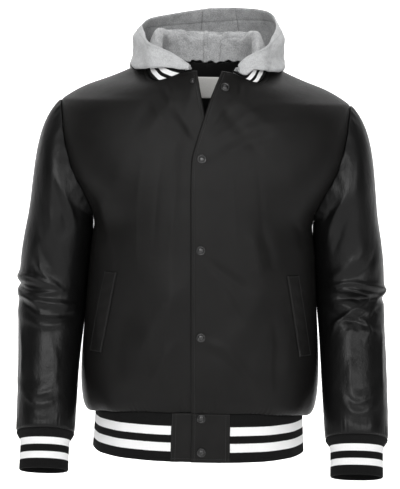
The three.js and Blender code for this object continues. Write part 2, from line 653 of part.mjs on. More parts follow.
// The turn in the collar's and hood's tables for a real turn: on each side their front part is
// stretched so that it ends where that side's free edge does.
const LEFT_STRETCH = 0.8; // the left side's front part is stretched more towards its end
function laidTurn(side, far) {
  const start = side < 0 ? HOOD_FRONT.right : HOOD_FRONT.left;
  if (far >= 90) return far;
  if (far < start) return mix(COLLAR[0].turn, HOOD_FRONT.right, far / start);
  const ahead = (far - start) / (90 - start);
  return mix(HOOD_FRONT.right, 90, side < 0 ? ahead : ahead ** LEFT_STRETCH);
}

// The seam that the collar is sewn to, in steps that match the body panels' neckline: NECK_ROWS steps
// from the left front edge to the shoulder, twice that round the back, and NECK_ROWS down the right.
const NECK_STEPS = 4 * NECK_ROWS;
function neckSeamStep(step) {
  const side = step <= NECK_STEPS / 2 ? 1 : -1;
  const fromFront = side > 0 ? step : NECK_STEPS - step;
  const behind = fromFront > NECK_ROWS;
  const share = behind ? 2 - fromFront / NECK_ROWS : fromFront / NECK_ROWS;
  const { x, level } = neckline(side, share, behind);
  const angle = side * angleAtX(x, level, behind);
  const point = behind ? torso(angle, level) : drape(angle, level, side);
  return { point, turn: (fromFront / NECK_ROWS) * 90 };
}
const NECK_SEAM = Array.from({ length: NECK_STEPS + 1 }, (_, step) => neckSeamStep(step));
function neckSeam(step) {
  const i = clamp(Math.floor(step), 0, NECK_STEPS - 1);
  const a = NECK_SEAM[i];
  const b = NECK_SEAM[i + 1];
  return { point: a.point.clone().lerp(b.point, step - i), turn: mix(a.turn, b.turn, step - i) };
}

// A point of the collar at a step round the neck and a height above its seam.
const COLLAR_BOW = 0.25;
function collarPoint(step, height) {
  const { point, turn } = neckSeam(step);
  const outward = new THREE.Vector3(point.x, point.y, 0).normalize();
  const lean = collarAt.lean(laidTurn(point.x, turn)) / COLLAR_HEIGHT;
  const curve = 1 + COLLAR_BOW * Math.sin((Math.PI * height) / COLLAR_HEIGHT);
  const rise = Math.sqrt(1 - lean * lean);
  return point
    .addScaledVector(outward, lean * height * curve)
    .add(new THREE.Vector3(0, 0, COLLAR_GAP + height * rise));
}
function collarTall(step) {
  const { point, turn } = neckSeam(step);
  return collarAt.tall(laidTurn(point.x, turn));
}
const COLLAR_START = 1; // steps from each front edge to the collar's ends
function collar(u, v) {
  const step = mix(COLLAR_START, NECK_STEPS - COLLAR_START, u);
  return collarPoint(step, v * collarTall(step));
}

// Hood, laid back over the collar. For each turn from centre front its cloth runs from the neck seam
// up inside the collar, over the collar's edge, down into the pouch behind, and out and up to its free
// edge. The first five stations of that way follow the collar: seam, rise, inner edge, roll and fall.
// The other six are given here, as distance from the neck's axis (r) and height (z): inner wall,
// bottom, outer wall, waist, swell and free edge.
const HOOD = [
  { turn: 18, r: [87, 88, 89, 89, 88, 88], z: [-27, -29, -29, -27, -25, -23] },
  { turn: 30, r: [91, 94, 96, 96, 94, 92], z: [-26, -28, -27, -22, -16, -11] },
  { turn: 42, r: [98, 101, 104, 103, 100, 97], z: [-20, -26, -24, -14, -6, 0] },
  { turn: 52, r: [104, 108, 111, 109, 106, 102], z: [-18, -27, -25, -12, 0, 9] },
  { turn: 63, r: [107, 113, 119, 115, 113, 107], z: [-11, -25, -28, -9, 6, 17] },
  { turn: 76, r: [107, 117, 127, 119, 121, 111], z: [-6, -20, -27, -4, 15, 28] },
  { turn: 90, r: [107, 118, 131, 122, 127, 114], z: [-3, -14, -21, 3, 24, 40] },
  { turn: 112, r: [112, 125, 142, 141, 138, 123], z: [-13, -25, -31, -6, 26, 53] },
  { turn: 135, r: [123, 141, 164, 169, 160, 141], z: [-40, -74, -68, -14, 33, 68] },
  { turn: 160, r: [124, 147, 173, 182, 171, 147], z: [-76, -116, -88, -24, 34, 77] },
  { turn: 180, r: [125, 149, 177, 185, 173, 148], z: [-92, -134, -96, -30, 32, 81] },
];
const hoodStation = HOOD[0].r.map((_, i) => {
  const rows = HOOD.map((row) => ({ turn: row.turn, r: row.r[i], z: row.z[i] }));
  return columns(rows, "turn", "r", "z");
});
const LEAST_OUT = [3, 5, 6.5, 6, 5, 4]; // least distance of those six stations outside the collar's seam
const HOOD_CLEARANCE = 4.2; // between the fleece and the collar
const ROLL_LOFT = 2.5; // the roll stands this much higher over the collar's edge
// The collar seen from the neck's axis: distance and height of its seam, middle and free edge at a turn.
const collarProfile = (side) => {
  const rows = [];
  for (let i = 0; i <= 2 * NECK_ROWS; i += 1) {
    const step = side > 0 ? i : NECK_STEPS - i;
    const tall = collarTall(step);
    const [seam, middle, edge] = [0, 0.5, 1].map((share) => collarPoint(step, share * tall));
    const far = (p) => Math.hypot(p.x, p.y);
    rows.push({
      turn: (Math.atan2(side * edge.x, -edge.y) * 180) / Math.PI,
      seamR: far(seam),
      seamZ: seam.z,
      middleR: far(middle),
      middleZ: middle.z,
      edgeR: far(edge),
      edgeZ: edge.z,
    });
  }
  return columns(rows, "turn", "seamR", "seamZ", "middleR", "middleZ", "edgeR", "edgeZ");
};
const collarSeen = { left: collarProfile(1), right: collarProfile(-1) };
// The hood's way over the collar at a turn, from seam to fall. Near its front ends, where the collar
// is short, the roll lies lower.
const ROLL = { from: 20, over: 40, drop: 1.5, seamRise: 1.6, back: 1, fallBack: 1, fallRise: 1 };
function overCollar(side, far) {
  const seen = side > 0 ? collarSeen.left : collarSeen.right;
  const inside = RIB_KNIT + HOOD_CLEARANCE + HOOD_FLEECE;
  const full = ease((laidTurn(side, far) - ROLL.from) / ROLL.over);
  const edgeR = seen.edgeR(far);
  const edgeZ = seen.edgeZ(far);
  const over = HOOD_FLEECE + HOOD_CLEARANCE;
  return [
    { r: seen.seamR(far) - inside, z: seen.seamZ(far) + ROLL.seamRise },
    { r: seen.middleR(far) - inside, z: seen.middleZ(far) },
    { r: edgeR - inside, z: edgeZ - ROLL.drop * full },
    { r: edgeR - ROLL.back, z: edgeZ + over + ROLL_LOFT * full },
    { r: edgeR + over + ROLL.fallBack, z: edgeZ + ROLL.fallRise },
  ];
}
const HOOD_ROWS = [0, 1, 2, 3, 4, 4.5, 5, 5.5, 6, 6.5, 7, 7.5, 8, 8.5, 9, 9.45, 9.5, 10];
const HOOD_HEM = 9.47; // the turned hem starts here, in stations along the cloth's way
const HOOD_TILT = 8; // the free edge stands this much higher on the wearer's left, lower on the right
const HOOD_SHIFT = 2.5; // the hood's outer cloth lies this much towards the wearer's left
const OUTER_CLOTH = { from: 5.5, over: 3.5 }; // stations over which tilt and shift set in
const SHIFT_TURNS = { from: 40, over: 50 };
function hoodPoint(turn, station) {
  const side = turn < 0 ? -1 : 1;
  const far = Math.abs(turn);
  const row = laidTurn(side, far);
  const seamR = (side > 0 ? collarSeen.left : collarSeen.right).seamR(far);
  const laid = hoodStation.map((one, i) => ({
    r: Math.max(one.r(row), seamR + LEAST_OUT[i]),
    z: one.z(row),
  }));
  const guide = [...overCollar(side, far), ...laid].map((point, at) => ({ at, ...point }));
  const r = column(guide, "at", "r")(station);
  const turned = rad(side * far);
  const outer = ease((station - OUTER_CLOTH.from) / OUTER_CLOTH.over);
  const tilt = far > 90 ? side * HOOD_TILT * Math.sin(rad(2 * (far - 90))) * outer : 0;
  const shift = HOOD_SHIFT * outer * ease((far - SHIFT_TURNS.from) / SHIFT_TURNS.over);
  return new THREE.Vector3(
    r * Math.sin(turned) + shift,
    -r * Math.cos(turned),
    column(guide, "at", "z")(station) + tilt,
  );
}
const HOOD_SEAMS = { right: 175.5, left: 162 }; // the two seams of the centre panel
// The rows of the hood's grid lie at its stations: v counts rows, evenly.
const HOOD_UP = HOOD_ROWS.length - 1;
const stationAt = (v) => rowLevel(HOOD_ROWS.slice(0, -1), HOOD_ROWS[HOOD_UP], v * HOOD_UP);
function hoodPanel(from, to) {
  return (u, v) => {
    const turn = mix(from, to, u);
    return hoodPoint(turn > 180 ? turn - 360 : turn, stationAt(v));
  };
}

// Welt pockets: a slanting strip on each front
const WELT_SEAT = 0.2;
const WELT = { topX: 154, topLevel: -375, bottomX: 178, bottomLevel: -515, wide: 21, crown: 0.7 };
function welt(side) {
  const panelPoint = (x, level) => {
    const angle = angleAtX(x, level);
    return { p: drape(side * angle, level, side), n: torsoNormal(side * angle, level) };
  };
  return (u, v) => {
    const level = mix(WELT.bottomLevel, WELT.topLevel, v);
    const x = mix(WELT.bottomX, WELT.topX, v) + (u - 0.5) * WELT.wide;
    const { p, n } = panelPoint(x, level);
    const crown = WELT.crown * (1 - (2 * u - 1) ** 2);
    return p.addScaledVector(n, SEAM_GAP + WELT_CLOTH + WELT_SEAT + crown);
  };
}

// Neck label on the inside of the back
const LABEL = { half: 29, top: -41, bottom: -79 };
function label(u, v) {
  const level = mix(LABEL.bottom, LABEL.top, v);
  const x = mix(-LABEL.half, LABEL.half, u);
  const angle = angleAtX(x, level, true);
  return torso(angle, level).addScaledVector(torsoNormal(angle, level), -(BODY_CLOTH + LABEL_GAP));
}

// Snap caps: a domed disc with a rolled rim, turned on its axis
const SNAP_SIDES = 14;
const SNAP_PROFILE = [
  { r: 0, h: 0 },
  { r: 0.97, h: 0 },
  { r: 1, h: 0.3 },
  { r: 0.93, h: 0.62 },
  { r: 0.8, h: 0.66 },
  { r: 0.68, h: 0.5 },
  { r: 0.45, h: 0.86 },
  { r: 0, h: 1 },
]; // shares of the radius and of the height
function snapGeometry(radius, height) {
  const points = SNAP_PROFILE.map(({ r, h }) => new THREE.Vector2(r * radius, h * height));
  return new THREE.LatheGeometry(points, SNAP_SIDES);
}
function snap(name, radius, height, point, normal, material) {
  const mesh = new THREE.Mesh(snapGeometry(radius, height), material);
  mesh.name = name;
  mesh.position.copy(point);
  mesh.quaternion.setFromUnitVectors(new THREE.Vector3(0, 1, 0), normal);
  return mesh;
}

const material = (color, roughness, metalness = 0) =>
  new THREE.MeshStandardMaterial({ color, roughness, metalness, side: THREE.DoubleSide });
const MATERIALS = {
  body: material(0x1b1b1a, 0.6),
  leather: material(0x0c0c0d, 0.32),
  rib: material(0x0b0b0c, 0.9),
  fleece: material(0xa6a8a9, 0.95),
  metal: material(0x3a3b3d, 0.4, 0.8),
  label: material(0xe6e4de, 0.8),
};

const jacket = new THREE.Group();
function add(name, geometry, look) {
  const mesh = new THREE.Mesh(geometry, MATERIALS[look]);
  mesh.name = name;
  jacket.add(mesh);
}
// The wearer's right is the left one seen in a mirror.
const mirrored = (shape) => (u, v) => {
  const p = shape(u, v);
  p.x = -p.x;
  return p;
};

const FRONT_GRID = { across: 16, up: PANEL_ROWS, thick: BODY_CLOTH };
const inFrontOfSeam = (p) => p.setY(Math.min(p.y, -SEAM_GAP / 2));
const behindSeam = (p) => p.setY(Math.max(p.y, SEAM_GAP / 2));
add("front_left", wall({ shape: frontPanel(1), ...FRONT_GRID, trim: inFrontOfSeam }), "body");
add(
  "front_right",
  wall({ shape: frontPanel(-1), ...FRONT_GRID, trim: inFrontOfSeam, flip: true }),
  "body",
);
const backWall = {
  shape: backPanel,
  facing: backFacing,
  across: BACK_ACROSS,
  up: PANEL_ROWS,
  thick: BODY_CLOTH,
  trim: behindSeam,
  notch: backNotch,
};
add("back", wall(backWall), "body");

const SLEEVE_GRID = { across: 2 * ARMHOLE_ROWS, up: 20, thick: SLEEVE_LEATHER, round: true };
add("sleeve_left", wall({ shape: sleeve("left"), ...SLEEVE_GRID, flip: true }), "leather");
add("sleeve_right", wall({ shape: mirrored(sleeve("right")), ...SLEEVE_GRID }), "leather");
const CUFF_GRID = { across: 20, up: 5, thick: RIB_KNIT, round: true };
add("cuff_left", wall({ shape: cuff("left"), ...CUFF_GRID, flip: true }), "rib");
add("cuff_right", wall({ shape: mirrored(cuff("right")), ...CUFF_GRID }), "rib");

const hemRib = hemBand(-TAB_RIGHT_END - TAB_GAP, TAB_LEFT_END + TAB_GAP, true);
add("hem_rib", wall({ shape: hemRib, across: 48, up: 3, thick: RIB_KNIT }), "rib");
const TAB_GRID = { across: 8, up: 3, thick: BODY_CLOTH };
const TAB_LEVEL = -650;
const leftTab = hemTab(edgeX.left(TAB_LEVEL), TAB_LEFT_END, false);
const rightTab = hemTab(-TAB_RIGHT_END, edgeX.right(TAB_LEVEL), true);
add("hem_tab_left", wall({ shape: leftTab, ...TAB_GRID, flip: true }), "body");
add("hem_tab_right", wall({ shape: rightTab, ...TAB_GRID, flip: true }), "body");

const COLLAR_GRID = { across: 2 * (NECK_STEPS - 2 * COLLAR_START), up: 3, thick: RIB_KNIT };
add("collar", wall({ shape: collar, ...COLLAR_GRID }), "rib");

const hoodThick = (u, v) => HOOD_FLEECE + (stationAt(v) > HOOD_HEM ? HOOD_HEM_EXTRA : 0);
const HOOD_GRID = { up: HOOD_UP, thick: hoodThick, flip: true };
add(
  "hood_left",
  wall({ shape: hoodPanel(HOOD_FRONT.left, HOOD_SEAMS.left - PANEL_GAP), across: 18, ...HOOD_GRID }),
  "fleece",
);
add(
  "hood_centre",
  wall({ shape: hoodPanel(HOOD_SEAMS.left, 360 - HOOD_SEAMS.right), across: 4, ...HOOD_GRID }),
  "fleece",
);
add(
  "hood_right",
  wall({
    shape: hoodPanel(360 - HOOD_SEAMS.right + PANEL_GAP, 360 - HOOD_FRONT.right),
    across: 18,
    ...HOOD_GRID,
  }),
  "fleece",
);

const WELT_GRID = { across: 3, up: 8, thick: WELT_CLOTH };
add("welt_left", wall({ shape: welt(1), ...WELT_GRID }), "body");
add("welt_right", wall({ shape: welt(-1), ...WELT_GRID, flip: true }), "body");
add("neck_label", wall({ shape: label, across: 5, up: 2, thick: LABEL_TAPE }), "label");

// Closed snaps sit on the lapped front and on the hem tab, the top pair stands open
const onFront = (x, level, side, seat = SEAM_GAP) => {
  const angle = angleAtX(x, level);
  const n = torsoNormal(angle, level);
  return { p: drape(angle, level, side).addScaledVector(n, seat), n };
};
SNAP_LEVELS.forEach((level, i) => {
  const { p, n } = onFront(edgeX.left(level) + SNAP_INSET, level, 1);
  jacket.add(snap(`snap_cap_${i + 1}`, SNAP_RADIUS, SNAP_HEIGHT, p, n, MATERIALS.metal));
});
HEM_SNAPS.forEach((down, i) => {
  const x = edgeX.left(HEM_SEAM - down) + SNAP_INSET;
  const p = hemPoint(hemAngle(x), down).add(new THREE.Vector3(0, -SEAM_GAP, 0));
  const n = new THREE.Vector3(0, -1, 0);
  jacket.add(snap(`snap_cap_hem_${i + 1}`, SNAP_RADIUS, SNAP_HEIGHT, p, n, MATERIALS.metal));
});
const capX = edgeX.left(OPEN_CAP.level) + OPEN_CAP.inset;
const openCap = onFront(capX, OPEN_CAP.level, 1, OPEN_CAP.seat);
jacket.add(snap("snap_cap_open", SNAP_RADIUS, SNAP_HEIGHT, openCap.p, openCap.n, MATERIALS.metal));
const studX = edgeX.right(OPEN_STUD.level) - OPEN_STUD.inset;
const openStud = onFront(studX, OPEN_STUD.level, -1, OPEN_STUD.seat);
jacket.add(snap("snap_stud_open", STUD_RADIUS, SNAP_HEIGHT, openStud.p, openStud.n, MATERIALS.metal));

export default jacket;
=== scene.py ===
"""The looks of a hooded varsity jacket, filled out as if worn by nobody.

Each cloth piece is a surface worked out with numpy from the sizes of the cut, in millimetres, and made
a thin shell. +Z is up, the front faces -Y and the wearer's left is +X. The origin is the middle of the
neck opening. A turn or an angle goes round from centre front (or from the arm's outer side), in degrees.
"""

import bpy
import numpy as np
from mathutils import Matrix, Vector


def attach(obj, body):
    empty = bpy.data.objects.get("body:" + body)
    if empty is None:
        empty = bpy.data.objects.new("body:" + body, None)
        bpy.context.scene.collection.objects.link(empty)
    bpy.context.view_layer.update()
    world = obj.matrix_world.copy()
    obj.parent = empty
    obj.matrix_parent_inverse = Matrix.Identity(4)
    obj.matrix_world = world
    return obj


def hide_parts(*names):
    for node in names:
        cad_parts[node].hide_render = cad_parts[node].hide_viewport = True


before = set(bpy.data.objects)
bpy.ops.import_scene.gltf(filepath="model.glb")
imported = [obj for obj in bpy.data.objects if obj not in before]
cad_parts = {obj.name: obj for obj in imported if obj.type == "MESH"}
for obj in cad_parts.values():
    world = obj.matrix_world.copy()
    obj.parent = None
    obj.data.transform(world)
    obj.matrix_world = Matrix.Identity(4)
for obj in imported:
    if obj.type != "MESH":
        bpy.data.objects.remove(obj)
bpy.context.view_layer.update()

MM = 0.001  # the tables are in millimetres, Blender's units are metres

# Driving sizes of the cut
NECK_HALF = 102
NECK_TOP = -13
SHOULDER_TIP = -88
ARMPIT = -288
HEM_SEAM = -610
HEM_RIB_HEIGHT = 84
COLLAR_HEIGHT = 42
CUFF_HEIGHT = 66
SNAP_INSET = 17
TAB_RIGHT_END = 46.5
TAB_LEFT_END = 54
BODY_CLOTH = 2.0
SLEEVE_LEATHER = 1.8
RIB_KNIT = 2.6
HOOD_FLEECE = 3.0
HOOD_HEM_EXTRA = 1.1
SEAM_GAP = 0.34
ARMHOLE_GAP = 0.9
LAP_GAP = 1.3
SIDES = {"left": 1, "right": -1}


def mix(a, b, t):
    return a + (b - a) * t


def ease(t):
    c = np.clip(t, 0, 1)
    return c * c * (3 - 2 * c)


def power(x, p):
    return np.sign(x) * np.abs(x) ** p


def curve(t, y):
    """A smooth curve through the points (t, y): between neighbours a cubic whose slope at each point is
    that of the chord between the points beside it, and straight beyond the ends. y may hold arrays."""
    t, y = np.array(t, float), np.array(y, float)
    column = (slice(None),) + (None,) * (y.ndim - 1)
    chords = (y[2:] - y[:-2]) / (t[2:] - t[:-2])[column]
    first = (y[1] - y[0]) / (t[1] - t[0])
    last = (y[-1] - y[-2]) / (t[-1] - t[-2])
    slope = np.concatenate([[first], chords, [last]])

    def read(x):
        x = np.asarray(x, float)
        k = np.clip(np.searchsorted(t, x) - 1, 0, len(t) - 2)
        more = x.shape + (1,) * (y.ndim - 1)
        h = (t[k + 1] - t[k]).reshape(more)
        s = np.clip((x.reshape(more) - t[k].reshape(more)) / h, 0, 1)
        b = 1 - s
        inside = y[k] * b * b * (1 + 2 * s) + y[k + 1] * s * s * (3 - 2 * s)
        inside = inside + slope[k] * h * s * b * b - slope[k + 1] * h * s * s * b
        before = np.minimum(x - t[0], 0).reshape(more) * slope[0]
        after = np.maximum(x - t[-1], 0).reshape(more) * slope[-1]
        return inside + before + after

    return read


def table(names, rows):
    """The smooth curve through each named column of a table, read at any value of its first column."""
    values = np.array(sorted(rows), float)
    return {name: curve(values[:, 0], values[:, i]) for i, name in enumerate(names.split())}


# The filled torso: at each level its half width, depth in front and behind, the roundness of each half,
# and how far the cloth's pouch over the hem rib hangs down at the sides
TORSO = table(
    "level half front back front_power back_power pouch",
    [
        (HEM_SEAM, 182, 129, 112, 2.3, 2.3, -3),
        (-606, 188, 131, 115, 2.3, 2.3, -18),
        (-598, 197, 134.5, 119, 2.3, 2.3, -27),
        (-586, 204, 139, 123, 2.3, 2.3, -24),
        (-560, 208, 143, 125, 2.3, 2.3, -12),
        (-520, 207, 144, 124, 2.3, 2.3, 0),
        (-450, 202.4, 143, 123, 2.3, 2.3, 0),
        (-390, 198.6, 142, 124, 2.3, 2.3, 0),
        (-335, 194.2, 140, 127, 2.3, 2.3, 0),
        (ARMPIT, 191.4, 138, 129, 2.3, 2.3, 0),
        (-250, 214, 135, 130, 2.4, 2.4, 0),
        (-206, 238, 131, 128, 2.55, 2.5, 0),
        (-156, 250, 123, 122, 2.5, 2.4, 0),
        (-115, 253, 114, 115, 2.2, 2.2, 0),
        (SHOULDER_TIP, 250, 106, 108, 1.9, 2, 0),
        (-77, 237, 102, 104, 1.72, 1.9, 0),
        (-61, 208, 97, 98, 1.5, 1.85, 0),
        (-45, 166, 92, 90, 1.33, 1.9, 0),
        (-33, 138, 88, 84, 1.28, 1.95, 0),
        (-22, 117, 84, 79, 1.28, 2, 0),
        (NECK_TOP, NECK_HALF, 80, 76, 1.3, 2, 0),
    ],
)


def sincos(angle):
    return np.sin(np.radians(angle)), np.cos(np.radians(angle))


def hang(angle):
    """How far the pouch over the hem hangs at an angle, as a share of its most, at the sides."""
    s, c = sincos(angle)
    return s * s + np.where(c < 0, 0.6 * c * c, 0)


def torso(angle, level):
    """The point at an angle from centre front and a level: a superellipse, fuller or flatter in front
    and behind as its roundness says."""
    angle, level = np.broadcast_arrays(np.asarray(angle, float), np.asarray(level, float))
    s, c = sincos(angle)
    front = c >= 0
    p = 2 / np.where(front, TORSO["front_power"](level), TORSO["back_power"](level))
    depth = np.where(front, TORSO["front"](level), TORSO["back"](level))
    x = TORSO["half"](level) * power(s, p)
    return np.stack([x, -depth * power(c, p), level + TORSO["pouch"](level) * hang(angle)], -1)


def torso_normal(angle, level):
    h = 0.02
    across = torso(angle + h, level) - torso(angle - h, level)
    up = torso(angle, level + h) - torso(angle, level - h)
    n = np.cross(across, up)
    return n / np.linalg.norm(n, axis=-1, keepdims=True)


def angle_at_x(x, level, behind=False):
    """The angle at a distance from the centre line, in front or behind."""
    p = (TORSO["back_power"] if behind else TORSO["front_power"])(level)
    share = np.clip(np.abs(x) / TORSO["half"](level), 0, 1)
    angle = np.sign(x) * np.degrees(np.arcsin(share ** (p / 2)))
    return 180 - angle if behind else angle


def angle_at_y(y, level):
    """The angle at a depth, in front (y below 0) or behind."""
    front = np.asarray(y) < 0
    depth = np.where(front, TORSO["front"](level), TORSO["back"](level))
    p = np.where(front, TORSO["front_power"](level), TORSO["back_power"](level))
    angle = np.degrees(np.arccos(np.clip(np.abs(y) / depth, 0, 1) ** (p / 2)))
    return np.where(front, angle, 180 - angle)


# Armhole: turn 0 at the shoulder point, 90 in front, 180 at the armpit, 270 behind
ARMHOLE = {"front": 57, "front_skew": 0.33, "back": 58, "back_skew": 0.2, "square": 0.85}


def armhole(turn):
    """Angle and level of the armhole at a turn: an egg, deeper below, on the torso's surface."""
    s, c = sincos(turn)
    front = s >= 0
    reach = np.where(front, ARMHOLE["front"], ARMHOLE["back"])
    skew = np.where(front, ARMHOLE["front_skew"], ARMHOLE["back_skew"])
    depth = reach * np.abs(s) ** ARMHOLE["square"] * (1 - skew * c)
    y = np.maximum(depth, SEAM_GAP / 2) * np.where(front, -1, 1)
    level = (SHOULDER_TIP + ARMPIT) / 2 + (SHOULDER_TIP - ARMPIT) / 2 * c
    return angle_at_y(y, level), level


# Necklines: share of the way from centre to the high shoulder point, distance from centre, level
FRONT_NECK = table(
    "share x level",
    [
        (0, 0, -35),
        (0.2, 30, -38),
        (0.4, 58, -46),
        (0.58, 80, -51),
        (0.72, 94, -46),
        (0.83, 101, -35),
        (0.92, 103, -23),
        (1, NECK_HALF, NECK_TOP),
    ],
)
FRONT_NECK_LEVEL = -35
BACK_NECK = table(
    "share x level",
    [(0, 0, -18), (0.35, 38, -17), (0.7, 78, -14.5), (1, NECK_HALF, NECK_TOP)],
)
BACK_NECK_LEVEL = -18

# Front edges: level, distance from the centre line; fastened up to the first closed snap, open above
OPEN_FROM = -185
EDGES = {
    "left": [
        (-694, -11),
        (HEM_SEAM, -13),
        (-480, -16.5),
        (-330, -20),
        (OPEN_FROM, -22),
        (-150, -14),
        (-108, -1.5),
        (-70, 11),
        (-35, 24),
    ],
    "right": [
        (-694, 21),
        (HEM_SEAM, 19),
        (-480, 15.5),
        (-330, 12),
        (OPEN_FROM, 10),
        (-150, 7),
        (-108, -1),
        (-70, -9),
        (-35, -15),
    ],
}
EDGE_X = {hand: table("level x", rows)["x"] for hand, rows in EDGES.items()}


def creases(rows, across, level):
    """Soft ridges (height above 0) and troughs along bent ways. Each adds its height times
    (1 + d * d) ^ -1.5, where d is the distance from the way in widths, fading at the way's ends."""
    total = np.zeros(np.broadcast(across, level).shape)
    for height, wide, way in rows:
        steps = np.arange(len(way))
        fine = curve(steps, way)(np.linspace(0, len(way) - 1, 4 * len(way) - 3))
        near, where = np.full(total.shape, np.inf), np.zeros(total.shape)
        for i, ((x0, z0), (x1, z1)) in enumerate(zip(fine[:-1], fine[1:])):
            dx, dz = x1 - x0, z1 - z0
            t = np.clip(((across - x0) * dx + (level - z0) * dz) / (dx * dx + dz * dz), 0, 1)
            d = np.hypot(across - x0 - t * dx, level - z0 - t * dz)
            where = np.where(d < near, (i + t) / (len(fine) - 1), where)
            near = np.minimum(near, d)
        fade = 0.25 + 0.75 * ease(np.minimum(where, 1 - where) / 0.3)
        total += height * fade * (1 + (near / wide) ** 2) ** -1.5
    return total


# Main folds of the fronts, the same as in the solids: distance from centre, level, lean from upright,
# length, width, height
MAIN_FOLDS = [
    (74, -96, -52, 62, 11, 3.2),
    (52, -122, -40, 58, 9, -3),
    (112, -84, -70, 46, 12, -2.4),
    (-92, -88, 30, 40, 10, -3.2),
    (-70, -100, 34, 44, 9, 2.6),
    (-168, -262, 24, 70, 13, 3),
    (-150, -318, 16, 90, 16, -3),
    (172, -270, -22, 70, 14, 3),
    (148, -330, -20, 96, 17, -3.2),
    (92, -490, 26, 110, 18, -3.4),
    (60, -470, 34, 100, 16, 2.6),
    (-80, -500, -22, 95, 18, 2.8),
]


def main_folds(x, level):
    """The sum of long soft bells, each turned by its lean."""
    total = np.zeros(x.shape)
    for at_x, at_level, lean, long, wide, height in MAIN_FOLDS:
        s, c = sincos(lean)
        dx, dz = x - at_x, level - at_level
        along, across = (dz * c + dx * s) / long, (dx * c - dz * s) / wide
        total += height * np.exp(-along * along - across * across)
    return total


# Creases: height, width, then the way as distances from the centre line and levels
FRONT_CREASES = [
    (1.8, 8, [(0, -158), (38, -131), (66, -108), (90, -86)]),
    (-1.7, 6, [(2, -140), (24, -116), (50, -96)]),
    (1.6, 5, [(12, -122), (26, -100), (44, -82)]),
    (2.0, 12, [(8, -172), (60, -136), (110, -118), (150, -112)]),
    (-1.8, 9, [(20, -180), (70, -152), (120, -138)]),
    (-1.6, 5, [(-84, -62), (-74, -78), (-62, -94)]),
    (1.4, 4, [(-74, -60), (-66, -76), (-56, -88)]),
    (1.8, 8, [(-62, -104), (-40, -132), (-14, -166)]),
    (-1.8, 7, [(-50, -96), (-30, -124), (-12, -148)]),
    (1.3, 6, [(-96, -82), (-78, -108), (-50, -140), (-24, -172)]),
    (-2.2, 8, [(-192, -244), (-182, -288), (-168, -332)]),
    (1.8, 9, [(-176, -250), (-164, -300), (-148, -348)]),
    (-2.0, 10, [(152, -276), (166, -305), (178, -340)]),
    (-2.0, 12, [(98, -288), (112, -330), (122, -372)]),
    (2.2, 14, [(80, -300), (92, -345), (100, -380)]),
    (-2.8, 8, [(8, -348), (42, -374), (84, -402)]),
    (1.8, 9, [(10, -362), (44, -396), (72, -440)]),
    (-1.8, 8, [(24, -368), (48, -410), (68, -456)]),
    (2.6, 9, [(4, -484), (46, -502), (98, -562)]),
    (-2.0, 9, [(8, -498), (52, -524), (88, -574)]),
    (3.6, 24, [(-22, -378), (-68, -444), (-114, -540)]),
    (-2.4, 18, [(-118, -420), (-136, -480), (-140, -560)]),
    (1.6, 10, [(-30, -478), (-64, -520), (-84, -570)]),
    (1.8, 12, [(140, -430), (150, -490), (146, -560)]),
    (-1.6, 9, [(122, -440), (130, -500), (126, -566)]),
    (1.4, 9, [(-170, -380), (-176, -440), (-168, -520)]),
    (0.9, 5, [(-44, -190), (-48, -260), (-56, -340)]),
    (-0.8, 5, [(-70, -170), (-78, -240), (-82, -330)]),
    (0.8, 6, [(-104, -180), (-112, -260), (-110, -360)]),
    (0.8, 5, [(46, -200), (52, -260), (60, -330)]),
    (-0.8, 5, [(90, -190), (96, -250), (104, -320)]),
    (0.8, 5, [(-52, -430), (-60, -500), (-58, -580)]),
    (-0.8, 4, [(30, -540), (34, -570), (28, -600)]),
    (0.9, 5, [(124, -470), (120, -530), (128, -590)]),
    (-1.6, 5, [(-36, -596), (-24, -588), (-16, -570)]),
]
NECK_PUCKERS = [  # small gathers below the neck seam, distances from the centre line
    (0.9, 2.2, [(50, -56), (52, -70)]),
    (-0.9, 2.0, [(57, -56), (58, -72)]),
    (0.9, 2.4, [(64, -58), (66, -76)]),
    (-0.8, 2.0, [(72, -58), (73, -70)]),
    (0.8, 2.6, [(80, -60), (86, -76)]),
    (0.7, 2.2, [(-58, -56), (-54, -70)]),
    (-0.7, 2.2, [(-66, -58), (-60, -74)]),
    (0.7, 2.4, [(-88, -60), (-84, -72)]),
]
BACK_CREASES = [
    (2.6, 16, [(-176, -236), (-120, -268), (-60, -282)]),
    (-2.4, 13, [(-182, -262), (-130, -300), (-84, -318)]),
    (2.2, 15, [(178, -244), (128, -274), (70, -296)]),
    (-2.0, 12, [(184, -270), (136, -312), (96, -340)]),
    (2.4, 20, [(-96, -330), (-104, -430), (-92, -550)]),
    (-2.2, 17, [(-56, -360), (-60, -450), (-48, -560)]),
    (2.0, 18, [(38, -380), (48, -470), (44, -566)]),
    (-2.4, 16, [(104, -350), (112, -440), (98, -560)]),
    (2.0, 16, [(148, -360), (156, -450), (150, -560)]),
    (-1.6, 12, [(-150, -400), (-158, -480), (-150, -566)]),
    (1.4, 8, [(-60, -36), (-30, -62), (10, -74)]),
    (-1.2, 8, [(-70, -52), (-34, -84), (16, -98)]),
    (1.2, 9, [(84, -44), (52, -74), (20, -92)]),
]


def gathered(girth, above, deep=0.9):
    """Cloth drawn into a seam: uneven waves about 8 mm apart that fade out 15 to 30 mm above it."""
    swing = girth + 2.4 * np.sin(girth / 21) + 1.3 * np.sin(girth / 8.7 + 1)
    long = 15 + 7 * np.sin(girth / 13.3) + 5 * np.sin(girth / 5.1 + 2)
    uneven = 0.7 + 0.5 * np.sin(girth / 17.9 + 0.6)
    fade = np.exp(-((above / np.maximum(long, 5)) ** 2)) * ease(above / 5 + 0.3)
    return deep * uneven * fade * np.cos(2 * np.pi * swing / 8.2)


GATHER_TOP = -545


